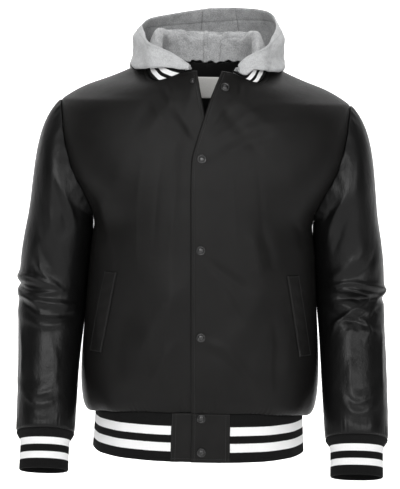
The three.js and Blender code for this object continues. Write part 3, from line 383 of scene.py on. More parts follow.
def broad_gather(angle, level):
    """The wide waves over the hem that the solids have too."""
    fade = ease((GATHER_TOP - level) / (GATHER_TOP - HEM_SEAM)) * ease((level - HEM_SEAM) / 14 + 0.25)
    uneven = 1 + 0.5 * sincos(angle * 5.3 + 20)[0] + 0.3 * sincos(angle * 11.7)[0]
    return 1.5 * fade * uneven * sincos(angle * 9)[1]


# Rows of the body panels, as levels: up the centre to the neckline, and up the side to the armpit
CENTRE_ROWS = [-610, -605, -598, -587, -564, -526, -472, -412, -354, -302, -254, -208, -166, -128, -94, -63]
SIDE_ROWS = [-610, -605, -598, -587, -566, -532, -486, -434, -382, -332]
NECK_ROWS = 6
PANEL_ROWS = len(CENTRE_ROWS) + NECK_ROWS


def level_of(rows, last, row):
    return np.interp(row, np.arange(len(rows) + 1), [*rows, last])


def outer_edge(row, behind):
    """Angle and level of a panel's outer edge: up the side seam, then round the armhole."""
    side_level = level_of(SIDE_ROWS, ARMPIT, row)
    side_angle = angle_at_y((1 if behind else -1) * SEAM_GAP / 2, side_level)
    turn = 180 * (1 - (row - len(SIDE_ROWS)) / (PANEL_ROWS - len(SIDE_ROWS)))
    turn = np.clip(turn, 0, 180)
    angle, level = armhole(360 - turn if behind else turn)
    below = row <= len(SIDE_ROWS)
    return np.where(below, side_angle, angle), np.where(below, side_level, level)


def neckline(hand, share, behind):
    """Distance from centre, and level, of the neckline: share 0 at the front edge or centre back."""
    if behind:
        return BACK_NECK["x"](share), BACK_NECK["level"](share)
    start = SIDES[hand] * EDGE_X[hand](FRONT_NECK_LEVEL)
    return mix(start, NECK_HALF, FRONT_NECK["x"](share) / NECK_HALF), FRONT_NECK["level"](share)


def fine_rows(tallest=4.6):
    """Row numbers for a fine grid, each step at most so tall."""
    levels = [*CENTRE_ROWS, FRONT_NECK_LEVEL]
    parts = []
    for k in range(len(CENTRE_ROWS)):
        count = int(np.ceil((levels[k + 1] - levels[k]) / min(tallest, 1.8 + 0.12 * k * k)))
        parts.append(np.linspace(k, k + 1, count, endpoint=False))
    round_neck = np.linspace(len(CENTRE_ROWS), PANEL_ROWS, NECK_ROWS * 7 + 1)
    return np.concatenate([*parts, round_neck])


EDGE_STEPS = [0, 0.5, 1.1, 2.0, 3.2, 4.6, 5.6, 6.2, 6.8, 7.6, 9.0, 11.2]  # columns next to an edge, mm
SEAM_STEPS = [0, 0.6, 1.4, 2.4, 3.8]


def spaced(way, near, wide, far):
    """Shares of a way, points in a row, whose places along it are the near steps from its start, then
    even steps of that width, then the far steps before its end."""
    length = np.concatenate([[0], np.cumsum(np.linalg.norm(np.diff(way, axis=0), axis=1))])
    near, far = np.array(near, float), length[-1] - np.array(far[::-1], float)
    count = int((far[0] - near[-1]) / wide)
    places = np.concatenate([near, np.linspace(near[-1], far[0], count + 1)[1:-1], far])
    return np.interp(places, length, np.linspace(0, 1, len(way)))


def running(points, axis):
    """How far each point lies along its row (axis 1) or column (axis 0) from the first."""
    steps = np.linalg.norm(np.diff(points, axis=axis), axis=-1)
    start = np.zeros_like(np.take(steps, [0], axis))
    return np.concatenate([start, np.cumsum(steps, axis)], axis)


def front_place(hand, u, row):
    """Angle and level of a front's points: u from its front edge to the side, row from hem to shoulder."""
    side = SIDES[hand]
    out_angle, out_level = outer_edge(row, False)
    centre = row <= len(CENTRE_ROWS)
    level = level_of(CENTRE_ROWS, FRONT_NECK_LEVEL, row)
    neck_x, neck_level = neckline(hand, np.clip((row - len(CENTRE_ROWS)) / NECK_ROWS, 0, 1), False)
    x = np.where(centre, side * EDGE_X[hand](level), neck_x)
    level = np.where(centre, level, neck_level)
    here = mix(level[:, None], out_level[:, None], u[None, :])
    seam = angle_at_y(-SEAM_GAP / 2, here)
    start = np.minimum(angle_at_x(x, level)[:, None], seam)
    return side * np.minimum(mix(start, out_angle[:, None], u[None, :]), seam), here


def under_lap(x, level):
    """How far the right front has sunk below the left one: none well before its edge, all at it."""
    return ease((x - EDGE_X["left"](level) + 36) / 24)


TOPSTITCH_IN = 6.5  # the front edge's topstitch from the edge


def edge_relief(inset):
    """A folded edge: rolled down at its rim, a little puffed, and drawn in along its topstitch."""
    rim = -0.9 * np.exp(-((inset / 1.1) ** 2))
    puff = 0.35 * np.exp(-(((inset - 3.4) / 2.2) ** 2))
    return rim + puff - 0.55 * np.exp(-(((inset - TOPSTITCH_IN) / 0.7) ** 2))


def seam_relief(inset):
    """Cloth that turns in to a plain seam."""
    return -0.9 * np.exp(-((inset / 1.2) ** 2))


def draped(hand, angle, level, fine=True):
    """The front's cloth: the torso moved out by folds and gathers, and in where it runs under the lap."""
    side = SIDES[hand]
    p, n = torso(angle, level), torso_normal(angle, level)
    x = p[..., 0]
    near_side = 1 - ease((np.abs(angle) - 62) / 20)
    near_hem = ease((level - HEM_SEAM) / 40)
    near_neck = ease((FRONT_NECK_LEVEL - level) / 24)
    from_edge = np.abs(x - EDGE_X[hand](level))
    folds = main_folds(x, level)
    if fine:
        folds = 0.45 * folds + creases(FRONT_CREASES, x, level)
    out = folds * near_side * near_hem * near_neck * ease((from_edge - 8) / 26)
    out += 6 * ease((level - OPEN_FROM) / 130) * (1 - ease(from_edge / 46)) * near_side
    clear_of_tab = ease((np.abs(x) - TAB_RIGHT_END) / 20)
    out += broad_gather(angle, level) * clear_of_tab * near_side
    if side < 0:
        out -= (BODY_CLOTH + LAP_GAP) * under_lap(x, level)
    return p, n, out


def front_surface(hand):
    """One front as a grid of points."""
    row = fine_rows()
    middle = np.array([7.0])
    dense = np.linspace(0, 1, 600)
    way = torso(*front_place(hand, dense, middle))[0]
    u = spaced(way, EDGE_STEPS, 2.4, SEAM_STEPS)
    angle, level = front_place(hand, u, row)
    p, n, out = draped(hand, angle, level)
    inset, outset = running(p, 1), running(p[:, ::-1], 1)[:, ::-1]
    above = running(p, 0)
    girth = inset[12] - 11
    out += gathered(girth[None, :], above) * ease((inset - 9) / 12)
    out += creases(NECK_PUCKERS, p[..., 0], level) * ease((running(p[::-1], 0)[::-1] - 1) / 4)
    relief = edge_relief(inset) + 0.35 * seam_relief(outset)
    return p + n * (out + relief)[..., None], p + n * (out - BODY_CLOTH)[..., None]


BACK_HALF = 80  # columns of the back on each side
MIDDLE_SHARE = 0.004


def back_place(row):
    """Angle and level of the back's points, from the left side to the right. Its two middle columns
    stand close together, and above the neckline the cells between them are left out."""
    steps = np.arange(2 * BACK_HALF + 2)
    side = np.where(steps <= BACK_HALF, 1, -1)
    linear = np.abs(steps - (2 * BACK_HALF + 1) / 2) - 0.5
    u = linear / BACK_HALF
    out_angle, out_level = outer_edge(row, True)
    above = (row > len(CENTRE_ROWS))[:, None]
    share = np.where(above, u, mix(MIDDLE_SHARE, 1, u)[None, :])
    neck_x, neck_level = neckline("left", np.clip((row - len(CENTRE_ROWS)) / NECK_ROWS, 0, 1), True)
    level = level_of(CENTRE_ROWS, BACK_NECK_LEVEL, row)[:, None]
    level = np.where(above, neck_level[:, None], level)
    x = np.where(above, neck_x[:, None], 0)
    here = mix(level, out_level[:, None], share)
    seam = angle_at_y(SEAM_GAP / 2, here)
    start = np.maximum(angle_at_x(x, level, True), seam)
    return side * np.maximum(mix(start, out_angle[:, None], share), seam), here


def back_surface():
    row = fine_rows()
    angle, level = back_place(row)
    p, n = torso(angle, level), torso_normal(angle, level)
    inset = running(p, 1)
    outset = running(p[:, ::-1], 1)[:, ::-1]
    side = np.minimum(inset, outset)
    girth = inset[12][None, :]
    folds = creases(BACK_CREASES, p[..., 0], level) * ease((side - 4) / 30)
    folds = folds * ease((level - HEM_SEAM) / 40) * ease((-24 - level) / 20)
    out = folds + broad_gather(angle, level) + gathered(girth, running(p, 0))
    present = np.ones((len(row) - 1, 2 * BACK_HALF + 1), bool)
    present[row[:-1] >= len(CENTRE_ROWS), BACK_HALF] = False
    outer = p + n * (out + 0.35 * seam_relief(side))[..., None]
    return outer, p + n * (out - BODY_CLOTH)[..., None], present


# Sleeve: rings down the arm, given for the wearer's left: level, middle, half width and half depth
SLEEVE = table(
    "down x y wide deep",
    [
        (-290, 249, 3, 55, 70),
        (-320, 252.5, 4, 57, 68),
        (-355, 256.5, 4, 58, 66.5),
        (-390, 259, 4, 58, 65),
        (-420, 260.5, 1, 57.5, 63),
        (-445, 261, -5, 56.5, 61.5),
        (-475, 261.5, -15, 55.5, 60),
        (-540, 262.5, -39, 53, 57),
        (-600, 262.5, -62, 51.5, 54),
        (-640, 262.5, -77.5, 50.5, 51),
        (-656, 262.5, -84, 49.5, 47.5),
    ],
)
SLEEVE_TOP = -290
SLEEVE_END = -656
ELBOW = -430
ARM_LEAN = {"left": 0.04, "right": 0}
FOREARM_GIRTH = {"left": 1.045, "right": 0.965}
ARM_ROUNDNESS = 2 / 2.2


def swing_out(down, hand):
    return ARM_LEAN[hand] * np.maximum(ELBOW - down, 0)


def arm_girth(down, hand):
    return mix(1, FOREARM_GIRTH[hand], ease((ELBOW - 30 - down) / 100))


def slant_at(down):
    """The forward slant of the arm's axis, mm per mm."""
    return (SLEEVE["y"](down + 1) - SLEEVE["y"](down - 1)) / 2


def ring_point(turn, down, hand):
    """A point of the sleeve's rings, which stand square to the arm's axis."""
    s, c = sincos(turn)
    slant = slant_at(down)
    steep = np.hypot(1, slant)
    size = arm_girth(down, hand)
    wide = size * SLEEVE["wide"](down) * power(c, ARM_ROUNDNESS)
    deep = size * SLEEVE["deep"](down) * power(s, ARM_ROUNDNESS)
    x = SLEEVE["x"](down) + swing_out(down, hand) + wide
    return np.stack([x, SLEEVE["y"](down) - deep / steep, down + deep * slant / steep], -1)


# The way the sleeve leaves the armhole at a turn, and how far that pull reaches
LEAVE = table(
    "turn x y z pull",
    [
        (0, 0.76, 0, -0.65, 190),
        (90, 0.62, -0.4, -0.68, 150),
        (150, 0.7, -0.25, -0.65, 40),
        (180, 0.95, 0, -0.3, 6),
        (210, 0.7, 0.25, -0.65, 40),
        (270, 0.62, 0.4, -0.68, 150),
        (360, 0.76, 0, -0.65, 190),
    ],
)

# Main folds of the sleeves, as in the solids: level, turn, slant, width down the arm, spread, height
SLEEVE_FOLDS = {
    "right": [
        (-398, 20, -0.1, 9, 70, 6),
        (-414, 30, -0.22, 6, 60, -8),
        (-430, 60, -0.2, 8, 75, 5),
        (-448, 95, -0.16, 7, 60, -6),
        (-463, 60, -0.12, 10, 55, 4),
        (-405, 245, 0.05, 12, 60, 3),
        (-300, 105, 1.3, 26, 34, -4),
        (-330, 70, 1.1, 30, 30, 4),
        (-560, 80, 0.3, 14, 60, -3),
        (-585, 60, -0.3, 12, 60, 2.5),
    ],
    "left": [
        (-404, 60, 0.08, 9, 80, 5),
        (-418, 40, 0.1, 6, 80, -8),
        (-434, 85, 0.25, 8, 50, 5.5),
        (-452, 100, 0.3, 7, 60, -6),
        (-468, 85, 0.2, 10, 50, 4.5),
        (-410, 245, 0.05, 12, 60, 3),
        (-290, 110, 1.2, 26, 34, -4),
        (-335, 75, 1.2, 30, 30, 4),
        (-560, 85, -0.25, 13, 60, -3),
        (-590, 70, 0.3, 12, 60, 2.5),
    ],
}
# Creases of the leather: height, width, then the way as turns and levels
SLEEVE_CREASES = {
    "right": [
        (3.4, 4.0, [(10, -395), (45, -390), (70, -394), (92, -404), (110, -415)]),
        (3.2, 3.6, [(8, -416), (40, -420), (76, -420), (110, -415)]),
        (-3.0, 3.6, [(14, -405), (50, -406), (84, -411)]),
        (2.6, 4.0, [(68, -362), (74, -380), (90, -396), (108, -412)]),
        (-2.2, 4.5, [(56, -366), (60, -378), (66, -386)]),
        (3.0, 4.2, [(14, -428), (46, -427), (64, -436), (76, -450)]),
        (-3.4, 4.2, [(40, -438), (74, -454), (108, -456), (150, -450)]),
        (2.4, 5.0, [(92, -434), (120, -438), (160, -440)]),
        (2.0, 6.0, [(60, -468), (90, -474), (130, -466)]),
        (-1.8, 5.0, [(44, -574), (78, -585), (106, -577)]),
        (2.0, 7.0, [(50, -592), (84, -602), (112, -592)]),
        (-1.2, 5.0, [(60, -622), (84, -628), (106, -622)]),
        (3.0, 8.0, [(96, -214), (108, -262), (122, -306)]),
        (-2.6, 7.0, [(84, -216), (94, -266), (108, -314)]),
        (2.6, 8.0, [(74, -262), (86, -310), (104, -352)]),
        (-2.4, 7.0, [(120, -214), (132, -250), (146, -286)]),
        (2.2, 6.0, [(134, -206), (144, -238), (154, -268)]),
        (-2.2, 8.0, [(58, -300), (72, -344), (96, -384)]),
        (2.0, 8.0, [(30, -470), (40, -520), (36, -570)]),
        (1.8, 9.0, [(100, -500), (108, -540), (104, -580)]),
        (2.6, 5.0, [(200, -392), (236, -400), (262, -396)]),
        (-2.6, 5.0, [(196, -410), (232, -416), (266, -408)]),
        (2.2, 6.0, [(206, -430), (240, -434), (268, -424)]),
        (2.0, 8.0, [(238, -228), (226, -280), (214, -330)]),
        (-2.0, 8.0, [(254, -236), (244, -292), (232, -344)]),
    ],
    "left": [
        (3.4, 4.2, [(140, -400), (116, -394), (92, -389), (62, -394), (16, -402)]),
        (-3.2, 4.0, [(84, -400), (58, -404), (20, -412)]),
        (3.2, 3.8, [(126, -408), (98, -402), (64, -414), (90, -436), (118, -458), (136, -484)]),
        (-3.0, 4.0, [(120, -420), (92, -416), (80, -422)]),
        (-2.8, 4.2, [(60, -428), (78, -444), (104, -462)]),
        (3.0, 4.4, [(138, -470), (112, -452), (94, -446), (66, -464), (74, -486)]),
        (-2.6, 4.4, [(110, -470), (92, -462), (84, -474)]),
        (2.6, 4.2, [(52, -396), (20, -405), (46, -420), (60, -424)]),
        (-2.2, 5.0, [(30, -432), (54, -440), (62, -452)]),
        (-1.8, 5.0, [(112, -574), (92, -587), (60, -575)]),
        (2.0, 7.0, [(116, -590), (90, -604), (56, -590)]),
        (-1.2, 5.0, [(108, -616), (86, -624), (62, -620)]),
        (3.0, 7.0, [(152, -272), (138, -240), (124, -212)]),
        (-2.6, 7.0, [(140, -300), (124, -258), (108, -214)]),
        (3.0, 8.0, [(130, -322), (116, -280), (100, -232)]),
        (-2.4, 8.0, [(120, -346), (104, -304), (86, -256)]),
        (2.8, 9.0, [(132, -388), (98, -364), (70, -334)]),
        (-2.0, 8.0, [(96, -384), (66, -364), (44, -330)]),
        (2.0, 8.0, [(34, -470), (42, -520), (38, -580)]),
        (1.8, 9.0, [(96, -510), (100, -550), (94, -584)]),
        (2.6, 5.0, [(204, -396), (238, -392), (264, -402)]),
        (-2.6, 5.0, [(198, -414), (230, -410), (262, -420)]),
        (2.2, 6.0, [(208, -432), (236, -430), (266, -440)]),
        (2.0, 8.0, [(240, -224), (228, -276), (216, -326)]),
        (-2.0, 8.0, [(256, -232), (246, -288), (234, -340)]),
    ],
}
MM_PER_TURN = 1.08  # round the arm


def sleeve_relief(hand, turn, level):
    """Main folds as bells round the arm, and creases on top."""
    total = np.zeros(np.broadcast(turn, level).shape)
    for at, at_turn, slant, wide, spread, height in SLEEVE_FOLDS[hand]:
        away = (turn - at_turn + 540) % 360 - 180
        down = (level - at - slant * away) / wide
        total += height * np.exp(-(down**2) - (away / spread) ** 2)
    round_arm = ((turn + 90) % 360 - 90) * MM_PER_TURN
    rows = [(h, w, [(t * MM_PER_TURN, z) for t, z in way]) for h, w, way in SLEEVE_CREASES[hand]]
    return 0.6 * total + 1.15 * creases(rows, round_arm, level)


def sleeve_surface(hand):
    """Rings down the arm; above the first, cubic ways from the armhole that meet it smoothly."""
    turn = np.arange(144) / 144 * 360
    down = np.linspace(SLEEVE_TOP, SLEEVE_END, 120)[:, None]
    arm = ring_point(turn[None, :], down, hand)
    t = np.concatenate([[0, 0.004, 0.009, 0.016, 0.026], np.linspace(0.04, 1, 56)])[:-1, None, None]
    hole = torso(*armhole(turn))
    hole[:, 0] += ARMHOLE_GAP / 2
    way = np.stack([LEAVE["x"](turn), LEAVE["y"](turn), LEAVE["z"](turn)], -1)
    way /= np.linalg.norm(way, axis=-1, keepdims=True)
    end = ring_point(turn, SLEEVE_TOP, hand)
    further = ring_point(turn, SLEEVE_TOP - 1, hand) - end
    further /= np.linalg.norm(further, axis=-1, keepdims=True)
    pull = LEAVE["pull"](turn)[:, None]
    cap = hole * (1 + 2 * t) * (1 - t) ** 2 + end * t * t * (3 - 2 * t)
    cap = cap + way * pull * t * (1 - t) ** 2 - further * pull * t * t * (1 - t)
    p = np.concatenate([cap, arm])
    n = grid_normals(p, True)
    fade = np.concatenate([ease((t[:, 0, 0] - 0.2) / 0.6), np.ones(len(arm))])[:, None]
    inner = (turn > 120) & (turn < 240)
    calm = np.where(inner, 0.25 + 0.75 * ease((np.abs(turn - 180) - 30) / 30), 1)[None, :]
    along, to_cuff = running(p, 0), running(p[::-1], 0)[::-1]
    out = sleeve_relief(hand, turn[None, :], p[..., 2]) * fade * calm * ease(to_cuff / 30 + 0.1)
    pucker = 0.5 * np.exp(-((along / 14) ** 2)) * np.cos(turn * 0.42 + 3 * np.sin(turn / 23))[None, :]
    out += gathered(turn[None, :] * MM_PER_TURN, to_cuff, 0.8) + pucker * ease(along / 3)
    relief = SLEEVE_LEATHER + 0.5 * seam_relief(along) + seam_relief(to_cuff)
    level = p[..., 2]
    pressed = ease((-286 - level) / 12) * ease((level + 500) / 60)
    pressed = pressed * (0.5 + 1.0 * np.exp(-(((level + 312) / 18) ** 2)))
    relief = relief + pressed * np.exp(-(((turn - 180) / 24) ** 2))[None, :]
    outer = p + n * (out + relief)[..., None]
    inner = p + n * out[..., None]
    return (outer, inner) if hand == "left" else (outer * MIRROR, inner * MIRROR)


MIRROR = np.array([-1, 1, 1])


# Cuff: down from its seam, half width and half depth
CUFF = table(
    "down wide deep",
    [(0, 49, 45), (5, 47.5, 42), (15, 41.5, 33), (24, 40.5, 31), (CUFF_HEIGHT, 40.5, 30.5)],
)
RIBS_ROUND_CUFF = 100
SAMPLES_A_RIB = 4


def ribbed(count, deep=0.42):
    """Knit ribs: round ridges and narrow grooves, the height of a cosine raised to a power."""
    phase = np.arange(count * SAMPLES_A_RIB) / SAMPLES_A_RIB
    return deep * (np.abs(np.cos(np.pi * phase)) ** 0.7 - 0.5)


def rolled_rims(height, tall):
    """How far a rib's surface rolls in at its seam and at its free edge."""
    return -1.0 * np.exp(-((height / 1.2) ** 2)) - 1.1 * np.exp(-(((tall - height) / 1.0) ** 2))


def cuff_surface(hand):
    turn = np.arange(RIBS_ROUND_CUFF * SAMPLES_A_RIB) / (RIBS_ROUND_CUFF * SAMPLES_A_RIB) * 360
    down = np.concatenate([[0, 0.7, 1.6, 3], np.linspace(5, CUFF_HEIGHT - 3, 14), CUFF_HEIGHT - np.array([1.6, 0.7, 0])])
    s, c = sincos(turn)
    s, c, down = s[None, :], c[None, :], down[:, None]
    size = arm_girth(SLEEVE_END, hand)
    slant = slant_at(SLEEVE_END)
    steep = np.hypot(1, slant)
    along = down + SEAM_GAP

    def ring(out):
        wide = (size * CUFF["wide"](down) + out) * power(c, ARM_ROUNDNESS)
        deep = (size * CUFF["deep"](down) + out) * power(s, ARM_ROUNDNESS)
        x = SLEEVE["x"](SLEEVE_END) + swing_out(SLEEVE_END, hand) + wide
        y = SLEEVE["y"](SLEEVE_END) - (deep + along * slant) / steep
        points = np.stack([x, y, SLEEVE_END - (along - deep * slant) / steep], -1)
        return points if hand == "left" else points * MIRROR

    rib = ribbed(RIBS_ROUND_CUFF)[None, :] * ease(down / 3) + rolled_rims(down, CUFF_HEIGHT)
    return ring(rib + RIB_KNIT), ring(np.zeros((1, 1))), down[:, 0]


# Hem rib: down from its seam, half width, depth in front and behind
HEM_RIB = table(
    "down half front back",
    [(0, 181.5, 128.5, 111.5), (20, 181.5, 128.5, 112.5), (50, 183, 129, 114), (HEM_RIB_HEIGHT, 185, 128, 115)],
)
HEM_POWER = 2.3
RIBS_ROUND_HEM = 350


def hem_point(angle, down):
    s, c = sincos(angle)
    pouch = TORSO["pouch"](HEM_SEAM) * hang(angle) * (1 - down / HEM_RIB_HEIGHT)
    depth = np.where(c >= 0, HEM_RIB["front"](down), HEM_RIB["back"](down))
    x = HEM_RIB["half"](down) * power(s, 2 / HEM_POWER)
    z = HEM_SEAM - SEAM_GAP - down + pouch
    x, y, z = np.broadcast_arrays(x, -depth * power(c, 2 / HEM_POWER), z)
    return np.stack([x, y, z], -1)


def hem_angle(x):
    return np.sign(x) * np.degrees(np.arcsin((np.abs(x) / HEM_RIB["half"](40)) ** (HEM_POWER / 2)))


BAND_ROWS = np.concatenate([[0, 0.6, 1.4, 2.6], np.linspace(4.5, HEM_RIB_HEIGHT - 3, 13), HEM_RIB_HEIGHT - np.array([1.5, 0.6, 0])])


def hem_surface():
    start, end = hem_angle(-TAB_RIGHT_END - 0.2), hem_angle(TAB_LEFT_END + 0.2) - 360
    dense = hem_point(np.linspace(start, end, 3000), np.full(3000, 40.0))
    length = running(dense[None], 1)[0]
    count = RIBS_ROUND_HEM * SAMPLES_A_RIB
    even = np.interp(np.linspace(0, length[-1], count), length, np.linspace(start, end, 3000))
    down = BAND_ROWS[:, None]
    p = hem_point(even[None, :], down)
    sway = 0.8 * np.sin(even / 9.0)[None, :] * ease(down / 30) + 0.5 * np.sin(even / 3.7 + 1)[None, :]
    sway = sway * ease(down / 20)
    out = ribbed(RIBS_ROUND_HEM)[None, :] * ease(down / 3) + rolled_rims(down, HEM_RIB_HEIGHT) + sway
    away = p * [1, 1, 0]
    away = away / np.linalg.norm(away, axis=-1, keepdims=True)
    return p + away * out[..., None], p + away * (sway - RIB_KNIT)[..., None]


def tab_surface(hand):
    """A cloth tab at the front of the hem, with rolled edges."""
    ends = {"left": (EDGE_X["left"](-650), TAB_LEFT_END), "right": (-TAB_RIGHT_END, EDGE_X["right"](-650))}
    start, end = ends[hand]
    inset = np.concatenate([[0, 0.5, 1.1, 2, 3.2], np.linspace(5, end - start - 5, 22), end - start - np.array([3.2, 2, 1.1, 0.5, 0])])
    x, down = start + inset[None, :], BAND_ROWS[:, None]
    p = hem_point(hem_angle(x), down)
    free = inset if hand == "left" else (end - start) - inset
    sewn = (end - start) - free
    relief = edge_relief(free)[None, :] + seam_relief(sewn)[None, :] + 0.6 * seam_relief(down)
    relief = relief + edge_relief(HEM_RIB_HEIGHT - down)
    waver = 0.5 * np.sin(x / 7 + down / 15) * ease(down / 10) * ease((HEM_RIB_HEIGHT - down) / 10)
    y = p[..., 1] - waver
    if hand == "right":
        y = y + (BODY_CLOTH + LAP_GAP) * under_lap(x, HEM_SEAM - down)
    return [np.stack([p[..., 0], y + shift, p[..., 2]], -1) for shift in (-relief, BODY_CLOTH)]


# Collar: turn from centre front, its height, and how far its free edge stands outside its seam
COLLAR = table(
    "turn tall lean",
    [
        (8, 3, -0.5),
        (14, 4, -1),
        (30, 17, -6),
        (45, 30, -10),
        (60, 40, -14),
        (90, COLLAR_HEIGHT, -16),
        (112, COLLAR_HEIGHT, -6),
        (135, COLLAR_HEIGHT, 4),
        (180, COLLAR_HEIGHT, 10),
    ],
)
HOOD_FRONT = {"right": 18, "left": 34}  # turns at which the hood's free edges meet the neck seam
COLLAR_GAP = 0.9
NECK_STEPS = 4 * NECK_ROWS
COLLAR_START = 1
RIBS_ROUND_COLLAR = 190


def laid_turn(hand, far):
    """The turn in the collar's and hood's tables for a real turn: on each side their front part is
    stretched so that it ends where that side's free edge does."""
    start = HOOD_FRONT[hand]
    ahead = np.clip((far - start) / (90 - start), 0, 1)
    ahead = ahead if hand == "right" else ahead**0.8
    before = mix(8, HOOD_FRONT["right"], far / start)
    within = mix(HOOD_FRONT["right"], 90, ahead)
    return np.where(far >= 90, far, np.where(far < start, before, within))


def neck_seam(step):
    """The neck seam, in steps from the left front edge round the back to the right one."""
    step = np.asarray(step, float)
    left = step <= NECK_STEPS / 2
    from_front = np.where(left, step, NECK_STEPS - step)
    turn = from_front / NECK_ROWS * 90
    behind = from_front > NECK_ROWS
    point = np.zeros(step.shape + (3,))
    tall = np.zeros(step.shape)
    lean = np.zeros(step.shape)
    for hand, side in SIDES.items():
        mine = left if hand == "left" else ~left
        x, level = neckline(hand, np.clip(from_front / NECK_ROWS, 0, 1), False)
        angle = side * angle_at_x(x, level)
        p, n, out = draped(hand, angle, level, fine=False)
        front = p + n * out[..., None]
        x, level = neckline(hand, np.clip(2 - from_front / NECK_ROWS, 0, 1), True)
        rear = torso(side * angle_at_x(x, level, True), level)
        chosen = np.where(behind[..., None], rear, front)
        row = laid_turn(hand, turn)
        point = np.where(mine[..., None], chosen, point)
        tall = np.where(mine, COLLAR["tall"](row), tall)
        lean = np.where(mine, COLLAR["lean"](row), lean)
    return point, turn, tall, lean


def collar_point(step, height):
    """A point of the collar at a height above its seam, bowed a little between seam and edge."""
    point, _, _, lean = neck_seam(step)
    lean = lean / COLLAR_HEIGHT
    outward = point * [1, 1, 0]
    outward = outward / np.linalg.norm(outward, axis=-1, keepdims=True)
    bow = 1 + 0.25 * np.sin(np.pi * height / COLLAR_HEIGHT)
    rise = COLLAR_GAP + height * np.sqrt(1 - lean * lean)
    return point + outward * (lean * height * bow)[..., None] + rise[..., None] * [0, 0, 1]


def collar_surface():
    count = RIBS_ROUND_COLLAR * SAMPLES_A_RIB
    step = np.linspace(COLLAR_START, NECK_STEPS - COLLAR_START, count)[None, :]
    tall = neck_seam(step)[2]
    share = np.concatenate([[0, 0.02, 0.05], np.linspace(0.1, 0.92, 12), [0.96, 0.985, 1]])[:, None]
    height = share * tall
    p = collar_point(np.broadcast_to(step, height.shape), height)
    from_edge = tall - height
    out = ribbed(RIBS_ROUND_COLLAR, 0.36)[None, :] * ease(height / 3) + rolled_rims(height, tall)
    away = p * [1, 1, 0]
    away = away / np.linalg.norm(away, axis=-1, keepdims=True)
    return p + away * out[..., None], p - away * RIB_KNIT, from_edge


# Hood: for each turn from centre front, distance from the neck's axis and height of the inner wall,
# the bottom, the outer wall, the waist, the swell and the free edge
HOOD = [
    (18, [87, 88, 89, 89, 88, 88], [-27, -29, -29, -27, -25, -23]),
    (30, [91, 94, 96, 96, 94, 92], [-26, -28, -27, -22, -16, -11]),
    (42, [98, 101, 104, 103, 100, 97], [-20, -26, -24, -14, -6, 0]),
    (52, [104, 108, 111, 109, 106, 102], [-18, -27, -25, -12, 0, 9]),
    (63, [107, 113, 119, 115, 113, 107], [-11, -25, -28, -9, 6, 17]),
    (76, [107, 117, 127, 119, 121, 111], [-6, -20, -27, -4, 15, 28]),
    (90, [107, 118, 131, 122, 127, 114], [-3, -14, -21, 3, 24, 40]),
    (112, [112, 125, 142, 141, 138, 123], [-13, -25, -31, -6, 26, 53]),
    (135, [123, 141, 164, 169, 160, 141], [-40, -74, -68, -14, 33, 68]),
    (160, [124, 147, 173, 182, 171, 147], [-76, -116, -88, -24, 34, 77]),
    (180, [125, 149, 177, 185, 173, 148], [-92, -134, -96, -30, 32, 81]),
]
HOOD_TURNS = [row[0] for row in HOOD]
HOOD_R = curve(HOOD_TURNS, [row[1] for row in HOOD])
HOOD_Z = curve(HOOD_TURNS, [row[2] for row in HOOD])
LEAST_OUT = np.array([3, 5, 6.5, 6, 5, 4])
HOOD_CLEARANCE = 4.2
ROLL_LOFT = 2.5
HOOD_TILT = 8
HOOD_SHIFT = 2.5
HOOD_HEM = 9.47
HOOD_SEAMS = {"right": 175.5, "left": 162}
PANEL_GAP = 0.02


def collar_seen(hand):
    """The collar's seam, middle and free edge seen from the neck's axis: distance and height by turn."""
    steps = np.arange(2 * NECK_ROWS + 1)
    step = steps if hand == "left" else NECK_STEPS - steps
    tall = neck_seam(step)[2]
    seen = []
    for share in (0, 0.5, 1):
        p = collar_point(step, share * tall)
        seen += [np.hypot(p[:, 0], p[:, 1]), p[:, 2]]
        edge = p
    turn = np.degrees(np.arctan2(SIDES[hand] * edge[:, 0], -edge[:, 1]))
    return curve(turn, np.stack(seen, -1))


COLLAR_SEEN = {hand: collar_seen(hand) for hand in SIDES}


def hood_guide(hand, far):
    """For each turn the eleven stations of the hood's way: up inside the collar, over its edge, down
    into the pouch behind, and out and up to the free edge, as distances and heights."""
    seam_r, seam_z, middle_r, middle_z, edge_r, edge_z = COLLAR_SEEN[hand](far).T
    row = laid_turn(hand, far)
    inside = RIB_KNIT + HOOD_CLEARANCE + HOOD_FLEECE
    short = 1 - ease((row - 20) / 40)
    over_r = [seam_r - inside, middle_r - inside, edge_r - inside, edge_r - 1, edge_r + HOOD_CLEARANCE + HOOD_FLEECE + 1]
    over_z = [
        seam_z + 1.6,
        middle_z,
        edge_z - 1.5 * (1 - short),
        edge_z + HOOD_FLEECE + HOOD_CLEARANCE + ROLL_LOFT * (1 - short),
        edge_z + 1,
    ]
    laid_r = np.maximum(HOOD_R(row), seam_r[:, None] + LEAST_OUT)
    return np.concatenate([over_r, laid_r.T]), np.concatenate([over_z, HOOD_Z(row).T])


def hood_grid(turn, station):
    """Points of the hood's inside face, a row for each station and a column for each turn."""
    side = np.where(turn < 0, -1, 1)
    far = np.abs(turn)
    r, z = np.zeros((len(station), len(turn))), np.zeros((len(station), len(turn)))
    for hand, sign in SIDES.items():
        mine = side == sign
        if mine.any():
            guide_r, guide_z = hood_guide(hand, far[mine])
            r[:, mine] = curve(np.arange(11), guide_r)(station)
            z[:, mine] = curve(np.arange(11), guide_z)(station)
    s, c = sincos(side * far)
    outer = ease((station - 5.5) / 3.5)[:, None]
    tilt = np.where(far > 90, side * HOOD_TILT * sincos(2 * (far - 90))[0], 0) * outer
    shift = HOOD_SHIFT * outer * ease((far - 40) / 50)
    return np.stack([r * s + shift, -r * c, z + tilt], -1)


